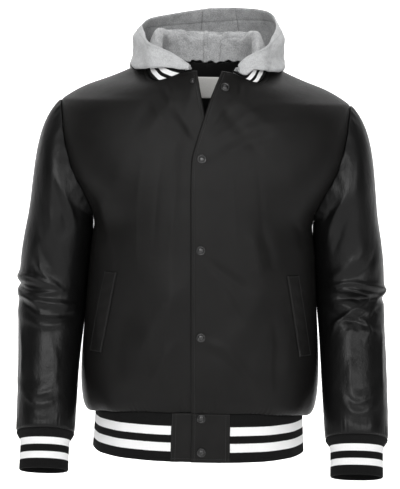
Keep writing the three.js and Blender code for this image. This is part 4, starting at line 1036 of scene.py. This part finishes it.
# Creases of the hood: height, width, then the way as turns (wearer's right below 0) and stations
HOOD_CREASES = [
    (2.4, 5, [(-176, 2.7), (-150, 3.3), (-132, 3.0)]),
    (-2.0, 5, [(-168, 2.2), (-152, 2.6), (-140, 2.4)]),
    (1.8, 4, [(160, 2.6), (146, 3.1), (128, 2.9)]),
    (-1.6, 5, [(170, 1.8), (150, 2.2), (134, 2.0)]),
    (2.0, 7, [(-60, 8.0), (-84, 7.4), (-112, 7.2)]),
    (-1.8, 7, [(-48, 7.6), (-80, 6.8), (-108, 6.6)]),
    (1.8, 7, [(60, 8.2), (84, 7.6), (112, 7.2)]),
    (-2.0, 7, [(52, 7.4), (82, 6.9), (110, 6.6)]),
    (2.2, 9, [(-140, 8.4), (-160, 7.6), (-176, 7.2)]),
    (-2.0, 9, [(150, 8.2), (166, 7.5), (178, 7.0)]),
    (1.6, 8, [(120, 8.8), (140, 8.0), (156, 7.8)]),
    (1.4, 6, [(-100, 8.6), (-124, 8.0), (-150, 8.3)]),
]
MM_PER_HOOD_TURN = 2.2
MM_PER_STATION = 34


def hood_surface(start, end):
    """A panel of the hood between two turns, with soft lumps where the fleece lies in folds."""
    turn = np.linspace(start, end, max(int(abs(end - start) * 1.05), 14))
    around = (turn + 180) % 360 - 180
    station = np.concatenate([np.linspace(0, 9.3, 104), [9.38, 9.44, 9.47, 9.5, 9.54, 9.62, 9.7, 9.78, 9.86, 9.92, 9.96, 10]])
    p = hood_grid(around, station)
    across, along = np.meshgrid(around * MM_PER_HOOD_TURN, station * MM_PER_STATION)
    rows = [(h, w, [(t * MM_PER_HOOD_TURN, s * MM_PER_STATION) for t, s in way]) for h, w, way in HOOD_CREASES]
    lumps = 0.5 * np.sin(across / 11 + 2 * np.sin(along / 17)) * np.sin(along / 9 + 1.5 * np.sin(across / 23))
    lumps += 0.35 * np.sin(across / 5.3 + along / 8.1) * np.sin(along / 4.7 - across / 19)
    wave = 1.8 * np.sin(across / 13 + 1.3) + 1.0 * np.sin(across / 5.9)
    wave = wave * np.exp(-(((station - 2.6) / 0.8) ** 2))[:, None]
    seam = np.minimum(running(p, 1), running(p[:, ::-1], 1)[:, ::-1])
    out = creases(rows, across, along) + lumps + wave
    n = grid_normals(p, False)
    hem = np.where(station > HOOD_HEM, HOOD_HEM_EXTRA, 0)[:, None]
    stitched = 0.8 * np.exp(-(((station - HOOD_HEM) / 0.035) ** 2))[:, None]
    rim = running(p[::-1], 0)[::-1]
    round_rim = 1.5 * np.exp(-((rim / 1.6) ** 2))
    sewn = 0.8 * np.exp(-((seam / 1.1) ** 2))
    sewn_line = 1.5 * np.sin(across / 10) + 1.1 * np.sin(across / 4.3 + 1)
    p[..., 2] += sewn_line * np.exp(-((station / 0.5) ** 2))[:, None] * ease((np.abs(around) - 110) / 20)
    out = out * ease(station / 1.5)[:, None] * ease(rim / 20 + 0.2)
    drawn_in = (stitched + sewn)[..., None] * n
    inside = p - n * (out + 0.5 * hem - round_rim)[..., None] + drawn_in
    outside = p + n * (HOOD_FLEECE + 0.5 * hem - round_rim - out)[..., None] - 0.6 * drawn_in
    return inside, outside


def grid_normals(points, closed):
    """Unit normals of a grid: the cross product of its step across and its step up."""
    if closed:
        across = np.roll(points, -1, 1) - np.roll(points, 1, 1)
    else:
        across = np.gradient(points, axis=1)
    n = np.cross(across, np.gradient(points, axis=0))
    return n / np.maximum(np.linalg.norm(n, axis=-1, keepdims=True), 1e-9)


# Meshes


def new_object(name, points, faces, looks, face_looks=None, uv=None):
    """A mesh object from points in millimetres, faces, and a UV pair for each face corner in metres."""
    mesh = bpy.data.meshes.new(name)
    mesh.from_pydata((points * MM).tolist(), [], faces.tolist() if hasattr(faces, "tolist") else faces)
    for look in looks:
        mesh.materials.append(look)
    count = len(mesh.polygons)
    mesh.polygons.foreach_set("use_smooth", np.ones(count, bool))
    if face_looks is not None:
        mesh.polygons.foreach_set("material_index", np.asarray(face_looks, np.int32))
    if uv is not None:
        layer = mesh.uv_layers.new(name="cut")
        layer.data.foreach_set("uv", np.asarray(uv, np.float32).ravel())
    mesh.update()
    obj = bpy.data.objects.new(name, mesh)
    bpy.context.scene.collection.objects.link(obj)
    return obj


def shell(name, outer, inner, looks, closed=False, flip=False, present=None, uv=None):
    """A closed thin wall: the outer grid, the inner grid behind it, and strips along every open edge.
    looks are the materials of the outer and the inner face."""
    rows, ring = outer.shape[:2]
    if uv is None:
        uv = np.stack([running(outer, 1), running(outer, 0)], -1)
    if closed:
        last = uv[:, -1:] + [1, 0] * (uv[:, 1:2] - uv[:, :1])
        uv = np.concatenate([uv, last], 1)
    cells = ring if closed else ring - 1
    if present is None:
        present = np.ones((rows - 1, cells), bool)
    j, i = np.nonzero(present)

    def corner(dj, di):
        return (j + dj) * ring + (i + di) % ring, (j + dj) * uv.shape[1] + i + di

    corners = [corner(0, 0), corner(0, 1), corner(1, 1), corner(1, 0)]
    vertex, place = (np.stack([c[k] for c in corners], -1) for k in (0, 1))
    behind = rows * ring
    quads, places = [vertex, vertex[:, [0, 3, 2, 1]] + behind], [place, place[:, [0, 3, 2, 1]]]
    edge = np.zeros((rows + 1, cells + 2), bool)
    edge[1:-1, 1:-1] = present
    if closed:
        edge[:, 0], edge[:, -1] = edge[:, -2], edge[:, 1]
    sides = [(0, 1, -1, 0), (1, 2, 0, 1), (2, 3, 1, 0), (3, 0, 0, -1)]
    for a, b, dj, di in sides:
        bare = ~edge[j + 1 + dj, i + 1 + di]
        p, q = vertex[bare, a], vertex[bare, b]
        quads.append(np.stack([p, behind + p, behind + q, q], -1))
        s, t = place[bare, a], place[bare, b]
        places.append(np.stack([s, s, t, t], -1))
    face_looks = np.concatenate([np.full(len(q), 1 if k == 1 else 0) for k, q in enumerate(quads)])
    quads, places = np.concatenate(quads), np.concatenate(places)
    if flip:
        quads, places = quads[:, ::-1], places[:, ::-1]
    points = np.concatenate([outer.reshape(-1, 3), inner.reshape(-1, 3)])
    used, renumbered = np.unique(quads, return_inverse=True)
    corner_uv = uv.reshape(-1, 2)[places.ravel()] * MM
    return new_object(name, points[used], renumbered.reshape(quads.shape), looks, face_looks, corner_uv)


def dress(obj, slot, *nodes):
    """The piece rides on the one body and stands for its node. The slot is not used."""
    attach(obj, "root")
    if nodes:
        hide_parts(*nodes)
    return obj


# Materials


class Nodes:
    """A material's node tree, built by short calls."""

    def __init__(self, name):
        self.material = bpy.data.materials.new(name)
        self.material.use_nodes = True
        self.tree = self.material.node_tree
        self.shader = self.tree.nodes["Principled BSDF"]

    def add(self, kind, links=None, **values):
        node = self.tree.nodes.new(kind)
        for key, value in values.items():
            if hasattr(node, key):
                setattr(node, key, value)
            else:
                node.inputs[key.replace("_", " ").capitalize()].default_value = value
        for socket, source in (links or {}).items():
            self.link(source, node.inputs[socket])
        return node

    def link(self, source, socket):
        self.tree.links.new(source, socket)

    def constants(self, **values):
        for key, value in values.items():
            self.shader.inputs[key.replace("_", " ")].default_value = value

    def place(self, own=False):
        """Object coordinates, or the piece's own UV map."""
        if own:
            return self.add("ShaderNodeUVMap", uv_map="cut").outputs["UV"]
        return self.add("ShaderNodeTexCoord").outputs["Object"]

    def noise(self, scale, detail=2.0, rough=0.5, stretch=None, own=False):
        vector = self.place(own)
        if stretch:
            vector = self.add("ShaderNodeMapping", {"Vector": vector}, Scale=stretch).outputs["Vector"]
        node = self.add("ShaderNodeTexNoise", {"Vector": vector})
        node.inputs["Scale"].default_value = scale
        node.inputs["Detail"].default_value = detail
        node.inputs["Roughness"].default_value = rough
        return node.outputs["Fac"]

    def ramp(self, source, stops, interpolation="LINEAR"):
        node = self.add("ShaderNodeValToRGB", {"Fac": source})
        node.color_ramp.interpolation = interpolation
        elements = node.color_ramp.elements
        while len(elements) < len(stops):
            elements.new(0.5)
        for element, (at, colour) in zip(elements, stops):
            element.position = at
            element.color = (*colour, 1)
        return node.outputs["Color"]

    def math(self, operation, a, b=None):
        node = self.tree.nodes.new("ShaderNodeMath")
        node.operation = operation
        for socket, value in zip(node.inputs, (a, b)):
            if value is None:
                continue
            if hasattr(value, "default_value"):
                self.link(value, socket)
            else:
                socket.default_value = value
        return node.outputs[0]

    def bump(self, height, distance, strength=1.0, under=None):
        node = self.add("ShaderNodeBump", {"Height": height})
        node.inputs["Distance"].default_value = distance
        node.inputs["Strength"].default_value = strength
        if under is not None:
            self.link(under, node.inputs["Normal"])
        return node.outputs["Normal"]


def grey(value, warm=0.0):
    return (value * (1 + warm), value, value * (1 - warm))


def woven_cloth(name, dark, light, roughness, sheen):
    """Smooth dense weave with a soft satin sheen: fine crossed threads and faint uneven dye."""
    n = Nodes(name)
    n.link(n.ramp(n.noise(24, 4), [(0.3, dark), (0.7, light)]), n.shader.inputs["Base Color"])
    rough = n.add("ShaderNodeMapRange", {"Value": n.noise(60, 3)})
    rough.inputs["To Min"].default_value = roughness - 0.05
    rough.inputs["To Max"].default_value = roughness + 0.06
    n.link(rough.outputs["Result"], n.shader.inputs["Roughness"])
    place = n.add("ShaderNodeSeparateXYZ", {"Vector": n.place(own=True)})
    thread = 2 * np.pi / 0.0009
    warp = n.math("SINE", n.math("MULTIPLY", place.outputs["X"], thread))
    weft = n.math("SINE", n.math("MULTIPLY", place.outputs["Y"], thread * 1.15))
    weave = n.math("MULTIPLY", warp, weft)
    fine = n.bump(weave, 0.00003)
    n.link(n.bump(n.noise(140, 3, own=False), 0.00025, under=fine), n.shader.inputs["Normal"])
    n.constants(Sheen_Weight=sheen, Sheen_Roughness=0.45, Specular_IOR_Level=0.12)
    return n.material


def leather(name):
    """Glossy black faux leather: small pebbled grain, fine pull lines and duller patches."""
    n = Nodes(name)
    n.link(n.ramp(n.noise(14, 3), [(0.3, grey(0.002)), (0.75, grey(0.0035))]), n.shader.inputs["Base Color"])
    rough = n.add("ShaderNodeMapRange", {"Value": n.noise(45, 4)})
    rough.inputs["To Min"].default_value = 0.33
    rough.inputs["To Max"].default_value = 0.46
    n.link(rough.outputs["Result"], n.shader.inputs["Roughness"])
    cells = n.add("ShaderNodeTexVoronoi", {"Vector": n.place()})
    cells.feature = "SMOOTH_F1"
    cells.inputs["Scale"].default_value = 780
    grain = n.bump(cells.outputs["Distance"], 0.00006)
    pulls = n.bump(n.noise(95, 4, 0.6, stretch=(1, 1, 0.5)), 0.0008, under=grain)
    n.link(n.bump(n.noise(17, 2, stretch=(1, 1, 0.6)), 0.0035, under=pulls), n.shader.inputs["Normal"])
    n.constants(Specular_IOR_Level=0.2)
    return n.material


BLACK_YARN = grey(0.006)
WHITE_YARN = grey(0.78)


def striped_rib(name, stripes):
    """Rib knit with knitted-in stripes, given as distances along the piece's own second direction where
    the yarn changes from black to white and back, in millimetres."""
    n = Nodes(name)
    place = n.add("ShaderNodeSeparateXYZ", {"Vector": n.place(own=True)})
    waver = n.math("MULTIPLY", n.math("SUBTRACT", n.noise(420, 1, own=True), 0.5), 0.0008)
    along = n.math("ADD", place.outputs["Y"], waver)
    white = None
    for start, end in stripes:
        soft = 0.0004
        rise = n.math("DIVIDE", n.math("SUBTRACT", along, start * MM), soft)
        fall = n.math("DIVIDE", n.math("SUBTRACT", end * MM, along), soft)
        band = n.math("MINIMUM", rise, fall)
        white = band if white is None else n.math("MAXIMUM", white, band)
    n.link(n.ramp(white, [(0.0, BLACK_YARN), (1.0, WHITE_YARN)]), n.shader.inputs["Base Color"])
    stitch = n.math("SINE", n.math("MULTIPLY", place.outputs["Y"], 2 * np.pi / 0.0016))
    knit = n.bump(stitch, 0.00012)
    n.link(n.bump(n.noise(900, 2), 0.0002, under=knit), n.shader.inputs["Normal"])
    n.constants(Roughness=0.92, Sheen_Weight=0.02, Sheen_Roughness=0.6, Specular_IOR_Level=0.06)
    return n.material


def melange(name, dark, light, lumps, nap):
    """Heather fleece: pale and dark fibres mixed in short streaks, with a soft nap."""
    n = Nodes(name)
    streaks = n.noise(900, 3, 0.7, stretch=(1, 1, 0.45))
    cloud = n.noise(70, 3)
    mixed = n.math("ADD", n.math("MULTIPLY", streaks, 0.75), n.math("MULTIPLY", cloud, 0.25))
    n.link(n.ramp(mixed, [(0.40, dark), (0.60, light)]), n.shader.inputs["Base Color"])
    soft = n.bump(n.noise(260, 4), lumps)
    n.link(n.bump(n.noise(1400, 2), 0.0002, under=soft), n.shader.inputs["Normal"])
    n.constants(Roughness=0.95, Sheen_Weight=nap, Sheen_Roughness=0.5, Specular_IOR_Level=0.1)
    return n.material


def gunmetal(name):
    """Dark plated metal, a little uneven, with brighter patches at random."""
    n = Nodes(name)
    n.link(n.ramp(n.noise(600, 3), [(0.35, grey(0.035)), (0.7, grey(0.08))]), n.shader.inputs["Base Color"])
    n.link(n.bump(n.noise(1500, 2), 0.00005), n.shader.inputs["Normal"])
    n.constants(Metallic=1.0, Roughness=0.36)
    return n.material


def plain(name, colour, roughness, scale=900, deep=0.0001):
    n = Nodes(name)
    n.link(n.ramp(n.noise(scale, 2), [(0.3, tuple(0.82 * c for c in colour)), (0.7, colour)]), n.shader.inputs["Base Color"])
    n.link(n.bump(n.noise(scale * 1.5, 2), deep), n.shader.inputs["Normal"])
    n.constants(Roughness=roughness)
    return n.material


body_cloth = woven_cloth("body_cloth", grey(0.0052, 0.04), grey(0.0070, 0.04), 0.43, 0.0)
facing_cloth = woven_cloth("facing_cloth", grey(0.004), grey(0.006), 0.7, 0.0)
sleeve_leather = leather("sleeve_leather")
hem_rib_knit = striped_rib("hem_rib_knit", [(22, 37.5), (50.5, 66)])
cuff_rib_knit = striped_rib("cuff_rib_knit", [(14, 26), (38, 50)])
collar_rib_knit = striped_rib("collar_rib_knit", [(10, 19), (25, 34)])
fleece_outside = melange("fleece_outside", grey(0.33, -0.01), grey(0.46, -0.01), 0.0002, 0.1)
fleece_inside = melange("fleece_inside", grey(0.22, -0.01), grey(0.41, -0.01), 0.0009, 0.2)
snap_metal = gunmetal("snap_metal")
thread_black = plain("thread_black", grey(0.02), 0.55)
label_tape = plain("label_tape", (0.86, 0.85, 0.82), 0.75, 1200, 0.00015)
leather_back = plain("leather_back", grey(0.012), 0.9)


# Cloth pieces


def in_front(p):
    return np.stack([p[..., 0], np.minimum(p[..., 1], -SEAM_GAP / 2), p[..., 2]], -1)


def behind(p):
    return np.stack([p[..., 0], np.maximum(p[..., 1], SEAM_GAP / 2), p[..., 2]], -1)


fronts = {}
for hand, side in SIDES.items():
    outer, inner = front_surface(hand)
    fronts[hand] = outer
    looks = [body_cloth, facing_cloth]
    obj = shell(f"front_{hand}_cloth", outer, in_front(inner), looks, flip=side < 0)
    dress(obj, "body_cloth", f"front_{hand}")

outer, inner, present = back_surface()
back = shell("back_cloth", outer, behind(inner), [body_cloth, facing_cloth], present=present)
dress(back, "body_cloth", "back")

for hand, side in SIDES.items():
    outer, inner = sleeve_surface(hand)
    looks = [sleeve_leather, leather_back]
    sleeve = shell(f"sleeve_{hand}_leather", outer, inner, looks, closed=True, flip=side < 0)
    dress(sleeve, "sleeve_leather", f"sleeve_{hand}")
    outer, inner, down = cuff_surface(hand)
    uv = np.stack([running(outer, 1), np.broadcast_to(down[:, None], outer.shape[:2])], -1)
    cuff = shell(f"cuff_{hand}_knit", outer, inner, [cuff_rib_knit] * 2, closed=True, flip=side < 0, uv=uv)
    dress(cuff, "rib_knit", f"cuff_{hand}")

outer, inner = hem_surface()
uv = np.stack([running(outer, 1), np.broadcast_to(BAND_ROWS[:, None], outer.shape[:2])], -1)
hem = shell("hem_rib_knit", outer, inner, [hem_rib_knit] * 2, uv=uv)
dress(hem, "rib_knit", "hem_rib")

tabs = {}
for hand in SIDES:
    tabs[hand], inner = tab_surface(hand)
    tab = shell(f"hem_tab_{hand}_cloth", tabs[hand], inner, [body_cloth, facing_cloth], flip=True)
    dress(tab, "body_cloth", f"hem_tab_{hand}")

outer, inner, from_free_edge = collar_surface()
uv = np.stack([running(outer, 1), from_free_edge], -1)
collar = shell("collar_knit", outer, inner, [collar_rib_knit] * 2, uv=uv)
dress(collar, "rib_knit", "collar")

hood_turns = {
    "left": (HOOD_FRONT["left"], HOOD_SEAMS["left"] - PANEL_GAP),
    "centre": (HOOD_SEAMS["left"], 360 - HOOD_SEAMS["right"]),
    "right": (360 - HOOD_SEAMS["right"] + PANEL_GAP, 360 - HOOD_FRONT["right"]),
}
for part, (start, end) in hood_turns.items():
    inside, outside = hood_surface(start, end)
    hood = shell(f"hood_{part}_fleece", inside, outside, [fleece_inside, fleece_outside], flip=True)
    dress(hood, "fleece", f"hood_{part}")

# Pocket welts
WELT = {"top_x": 154, "top": -375, "bottom_x": 178, "bottom": -515, "wide": 21}


def welt_grid(hand, across, share):
    """Points on a front, square across a slanting line and so far up it, with the way out."""
    level = mix(WELT["bottom"], WELT["top"], share)
    x = mix(WELT["bottom_x"], WELT["top_x"], share) + across
    angle = SIDES[hand] * angle_at_x(x, level)
    p, n, out = draped(hand, angle, level)
    return p + n * out[..., None], n


def welt_surface(hand):
    inset = np.concatenate([[0, 0.5, 1.2, 2.2], np.linspace(4, WELT["wide"] - 4, 12), WELT["wide"] - np.array([2.2, 1.2, 0.5, 0])])
    share = np.concatenate([[0, 0.004, 0.009, 0.016], np.linspace(0.03, 0.97, 50), [0.984, 0.991, 0.996, 1]])
    across, up = np.meshgrid(inset - WELT["wide"] / 2, share)
    p, n = welt_grid(hand, across, up)
    long = np.hypot(WELT["top"] - WELT["bottom"], WELT["top_x"] - WELT["bottom_x"])
    from_side = np.minimum(inset, WELT["wide"] - inset)[None, :]
    from_end = (np.minimum(share, 1 - share) * long)[:, None]
    rise = SEAM_GAP + 1.9 + 0.5 * (1 - (2 * inset / WELT["wide"] - 1) ** 2)[None, :]
    rise = rise - 0.9 * np.exp(-((from_side / 0.9) ** 2)) - 0.9 * np.exp(-((from_end / 0.9) ** 2))
    rise = rise + 0.25 * np.sin(up * 31 + across / 6)
    return p + n * rise[..., None], p + n * (SEAM_GAP + 0.2)


welts = {}
for hand, side in SIDES.items():
    welts[hand], inner = welt_surface(hand)
    welt = shell(f"welt_{hand}_cloth", welts[hand], inner, [body_cloth, facing_cloth], flip=side < 0)
    dress(welt, "body_cloth", f"welt_{hand}")

# Neck label
LABEL = {"half": 29, "top": -41, "bottom": -79, "gap": 2.2}


def label_surface():
    x = np.linspace(-LABEL["half"], LABEL["half"], 30)[None, :]
    level = np.linspace(LABEL["bottom"], LABEL["top"], 20)[:, None]
    angle = angle_at_x(x, level, True)
    p, n = torso(angle, np.broadcast_to(level, angle.shape)), torso_normal(angle, level)
    lift = -(BODY_CLOTH + LABEL["gap"]) + 0.3 * np.sin(x / 9) * np.ones_like(level)
    return p + n * lift[..., None], p + n * (lift - 0.8)[..., None]


label = shell("neck_label_tape", *label_surface(), [label_tape] * 2, flip=True)
dress(label, "label", "neck_label")

# Stitching: a small round-ended length of thread for each stitch
STITCH = {"long": 2.5, "pitch": 3.3, "thick": 0.34}
STITCH_RINGS = [(-0.5, 0.25, -0.25), (-0.3, 1.0, 0.28), (0.3, 1.0, 0.28), (0.5, 0.25, -0.25)]
STITCH_SIDES = 5


def thread_along(points, normals):
    """Stitches along a line on cloth, as points and faces. Each is four rings: its ends dip into the
    cloth and its middle stands proud of it."""
    place = running(points[None], 1)[0]
    count = max(int(place[-1] / STITCH["pitch"]), 1)
    middle = (np.arange(count) + 0.5) * place[-1] / count
    rings = np.array(STITCH_RINGS)
    at = middle[:, None] + rings[None, :, 0] * STITCH["long"]
    at = np.clip(at, 0, place[-1])
    p = np.stack([np.interp(at, place, points[:, k]) for k in range(3)], -1)
    n = np.stack([np.interp(at, place, normals[:, k]) for k in range(3)], -1)
    n /= np.linalg.norm(n, axis=-1, keepdims=True)
    way = p[:, -1:] - p[:, :1]
    way = way / np.maximum(np.linalg.norm(way, axis=-1, keepdims=True), 1e-9)
    across = np.cross(np.broadcast_to(way, n.shape), n)
    turn = np.arange(STITCH_SIDES) / STITCH_SIDES * 2 * np.pi
    radius = (rings[:, 1] * STITCH["thick"])[None, :, None, None]
    around = across[:, :, None] * np.cos(turn)[None, None, :, None] + n[:, :, None] * np.sin(turn)[None, None, :, None]
    centre = p + n * rings[None, :, 2:3]
    verts = (centre[:, :, None] + around * radius).reshape(-1, 3)
    ring, k = np.meshgrid(np.arange(len(rings) - 1), np.arange(STITCH_SIDES), indexing="ij")
    ring, k = ring.ravel(), k.ravel()
    a = ring * STITCH_SIDES + k
    b = ring * STITCH_SIDES + (k + 1) % STITCH_SIDES
    quads = np.stack([a, a + STITCH_SIDES, b + STITCH_SIDES, b], -1)
    step = np.arange(count) * len(rings) * STITCH_SIDES
    faces = (quads[None] + step[:, None, None]).reshape(-1, 4).tolist()
    first = np.arange(STITCH_SIDES)
    last = np.arange(STITCH_SIDES)[::-1] + (len(rings) - 1) * STITCH_SIDES
    faces += (first[None] + step[:, None]).tolist() + (last[None] + step[:, None]).tolist()
    return verts, faces


def sew(name, lines):
    """All the stitches of some lines as one piece."""
    verts, faces, count = [], [], 0
    for points, normals in lines:
        v, f = thread_along(points, normals)
        faces += [[i + count for i in face] for face in f]
        verts.append(v)
        count += len(v)
    return dress(new_object(name, np.concatenate(verts), faces, [thread_black]), "body_cloth")


def inset_line(points, normals, inset, axis=1, last=False):
    """The line that runs a distance inside a grid's first (or last) column (axis 1) or row (axis 0)."""
    if axis == 0:
        points, normals = points.swapaxes(0, 1), normals.swapaxes(0, 1)
    if last:
        points, normals = points[:, ::-1], normals[:, ::-1]
    place = running(points, 1)
    k = np.clip((place < inset).sum(1) - 1, 0, points.shape[1] - 2)
    rows = np.arange(len(points))
    start, end = place[rows, k], place[rows, k + 1]
    t = np.clip((inset - start) / np.maximum(end - start, 1e-9), 0, 1)[:, None]
    return mix(points[rows, k], points[rows, k + 1], t), mix(normals[rows, k], normals[rows, k + 1], t)


lines = []
for hand, side in SIDES.items():
    points = fronts[hand]
    normals = grid_normals(points, False) * side
    below_neck = len([r for r in fine_rows() if r <= len(CENTRE_ROWS)])
    edge = inset_line(points[:below_neck], normals[:below_neck], TOPSTITCH_IN)
    lines.append(edge)
    tab, tab_normals = tabs[hand], -grid_normals(tabs[hand], False)
    lines.append(inset_line(tab, tab_normals, TOPSTITCH_IN, last=hand == "right"))
    for inset in (2.2, 8.2):
        lines.append(inset_line(tab, tab_normals, inset, last=hand == "left"))
    lines.append(inset_line(tab, tab_normals, TOPSTITCH_IN, axis=0, last=True))
    pocket, pocket_normals = welts[hand], grid_normals(welts[hand], False) * side
    for axis in (0, 1):
        for last in (False, True):
            lines.append(inset_line(pocket, pocket_normals, 2.2, axis=axis, last=last))
sew("topstitching", lines)

# Snaps
SNAP_RADIUS = 7.6
SNAP_HEIGHT = 3.2
STUD_RADIUS = 4.4
SNAP_LEVELS = [-180, -332, -478]
HEM_SNAPS = [8, HEM_RIB_HEIGHT - 18]
SNAP_PROFILE = [  # share of the radius, share of the height
    (0.0, 0.0),
    (0.95, 0.0),
    (0.985, 0.12),
    (1.0, 0.3),
    (0.985, 0.48),
    (0.94, 0.62),
    (0.86, 0.7),
    (0.78, 0.66),
    (0.72, 0.52),
    (0.67, 0.5),
    (0.6, 0.62),
    (0.46, 0.82),
    (0.26, 0.95),
    (0.0, 1.0),
]


def snap(name, node, radius, height, point, normal):
    """A domed disc with a rolled rim and a groove, turned about its axis."""
    profile = curve(np.arange(len(SNAP_PROFILE)), SNAP_PROFILE)(np.linspace(0, len(SNAP_PROFILE) - 1, 40))
    turn = np.arange(48) / 48 * 2 * np.pi
    n = np.array(normal, float) / np.linalg.norm(normal)
    a = np.cross(n, [0, 0, 1.0])
    a /= np.linalg.norm(a)
    b = np.cross(n, a)
    r, h = np.maximum(profile[1:-1, 0], 0) * radius, profile[1:-1, 1] * height
    rings = r[:, None, None] * (a * np.cos(turn)[:, None] + b * np.sin(turn)[:, None])[None] + (h[:, None] * n)[:, None]
    verts = np.concatenate([[point], (rings + point).reshape(-1, 3), [point + n * height]])
    j, i = np.meshgrid(np.arange(len(r) - 1), np.arange(48), indexing="ij")
    j, i = j.ravel(), i.ravel()
    p, q = 1 + j * 48 + i, 1 + j * 48 + (i + 1) % 48
    faces = np.stack([p, q, q + 48, p + 48], -1).tolist()
    top = 1 + (len(r) - 1) * 48
    for i in range(48):
        faces.append([0, 1 + (i + 1) % 48, 1 + i])
        faces.append([len(verts) - 1, top + i, top + (i + 1) % 48])
    obj = dress(new_object(name, verts, faces, [snap_metal]), "snap_metal", node)
    return obj


def on_front(hand, x, level):
    angle = angle_at_x(np.array(float(x)), np.array(float(level)))
    p, n, out = draped(hand, angle, np.array(float(level)), fine=False)
    return p + n * (out + SEAM_GAP), n


for i, level in enumerate(SNAP_LEVELS):
    point, normal = on_front("left", EDGE_X["left"](level) + SNAP_INSET, level)
    snap(f"snap_{i + 1}", f"snap_cap_{i + 1}", SNAP_RADIUS, SNAP_HEIGHT, point, normal)
for i, down in enumerate(HEM_SNAPS):
    x = EDGE_X["left"](HEM_SEAM - down) + SNAP_INSET
    point = hem_point(hem_angle(x), np.array(float(down))) - np.array([0, SEAM_GAP, 0])
    snap(f"snap_hem_{i + 1}", f"snap_cap_hem_{i + 1}", SNAP_RADIUS, SNAP_HEIGHT, point, (0, -1, 0))
point, normal = on_front("left", EDGE_X["left"](-62) + 17, -62)
snap("snap_open_cap", "snap_cap_open", SNAP_RADIUS, SNAP_HEIGHT, point, normal)
point, normal = on_front("right", EDGE_X["right"](-53) - 10, -53)
snap("snap_open_stud", "snap_stud_open", STUD_RADIUS, SNAP_HEIGHT, point, normal)

# Stage: a pale floor that sweeps up behind
FLOOR = -0.86
SWEEP = np.radians(np.linspace(0, 90, 24))
SWEEP_RADIUS = 1.2
BACKDROP_AT = 2.2
FLOOR_FRONT = -14.0
FLOOR_HALF = 14.0


def backdrop():
    """A floor, a quarter circle and a wall, carried sideways."""
    y = np.concatenate([[FLOOR_FRONT, BACKDROP_AT], BACKDROP_AT + SWEEP_RADIUS * np.sin(SWEEP), [BACKDROP_AT + SWEEP_RADIUS]])
    z = np.concatenate([[FLOOR, FLOOR], FLOOR + SWEEP_RADIUS * (1 - np.cos(SWEEP)), [4.0]])
    points = np.concatenate([np.stack([np.full(len(y), s * FLOOR_HALF), y, z], -1) for s in (-1, 1)]) / MM
    k = np.arange(len(y) - 1)
    faces = np.stack([k, k + len(y), k + 1 + len(y), k + 1], -1)
    n = Nodes("pale_floor")
    n.link(n.ramp(n.noise(3, 2), [(0.3, grey(0.90)), (0.7, grey(0.93))]), n.shader.inputs["Base Color"])
    n.constants(Roughness=0.9, Emission_Color=(1, 1, 1, 1), Emission_Strength=0.35)
    floor = new_object("backdrop", points, faces, [n.material])


backdrop()


def soft_light(name, place, aim, size, watts, tall=None):
    lamp = bpy.data.lights.new(name, "AREA")
    lamp.energy = watts
    lamp.size = size
    if tall:
        lamp.shape = "RECTANGLE"
        lamp.size_y = tall
    obj = bpy.data.objects.new(name, lamp)
    bpy.context.scene.collection.objects.link(obj)
    obj.location = place
    obj.rotation_mode = "QUATERNION"
    obj.rotation_quaternion = (Vector(aim) - Vector(place)).to_track_quat("-Z", "Y")


CENTRE = (0, 0, -0.35)
soft_light("key", (-0.8, -3.1, 0.9), CENTRE, 1.1, 62, 1.3)
soft_light("fill", (1.3, -3.0, 0.6), CENTRE, 1.1, 38, 1.3)
soft_light("top", (0, -0.6, 1.7), CENTRE, 1.6, 12)
soft_light("wall", (0, 1.2, 1.6), (0, 3.2, -0.4), 3.0, 120)

world = bpy.data.worlds.new("studio")
world.use_nodes = True
world.node_tree.nodes["Background"].inputs["Color"].default_value = (1, 1, 1, 1)
world.node_tree.nodes["Background"].inputs["Strength"].default_value = 0.10
bpy.context.scene.world = world
bpy.context.scene.view_settings.view_transform = "Standard"

# Camera: its eye, what it is aimed at, its roll, and the lens that gives the photograph's frame
EYE = Vector((0, -3.0, -0.052))
AIM = Vector((0, 0, -0.333))
ROLL = np.radians(1.3)
FOCAL_PIXELS = 1724
FRAME_TALL = 489
SENSOR = 36
RIGHT_SHIFT = 2.7  # pixels by which the view's middle lies right of the frame's
UP_SHIFT = 1.0


def make_camera():
    data = bpy.data.cameras.new("camera")
    data.sensor_width = SENSOR
    data.lens = FOCAL_PIXELS / FRAME_TALL * SENSOR
    data.shift_x = -RIGHT_SHIFT / FRAME_TALL
    data.shift_y = -UP_SHIFT / FRAME_TALL
    camera = bpy.data.objects.new("camera", data)
    bpy.context.scene.collection.objects.link(camera)
    forward = (AIM - EYE).normalized()
    right = forward.cross(Vector((0, 0, 1))).normalized()
    up = right.cross(forward)
    turned_right = right * np.cos(ROLL) + up * np.sin(ROLL)
    turned_up = up * np.cos(ROLL) - right * np.sin(ROLL)
    rotation = Matrix((turned_right, turned_up, -forward)).transposed()
    camera.matrix_world = Matrix.Translation(EYE) @ rotation.to_4x4()
    bpy.context.scene.camera = camera


make_camera()
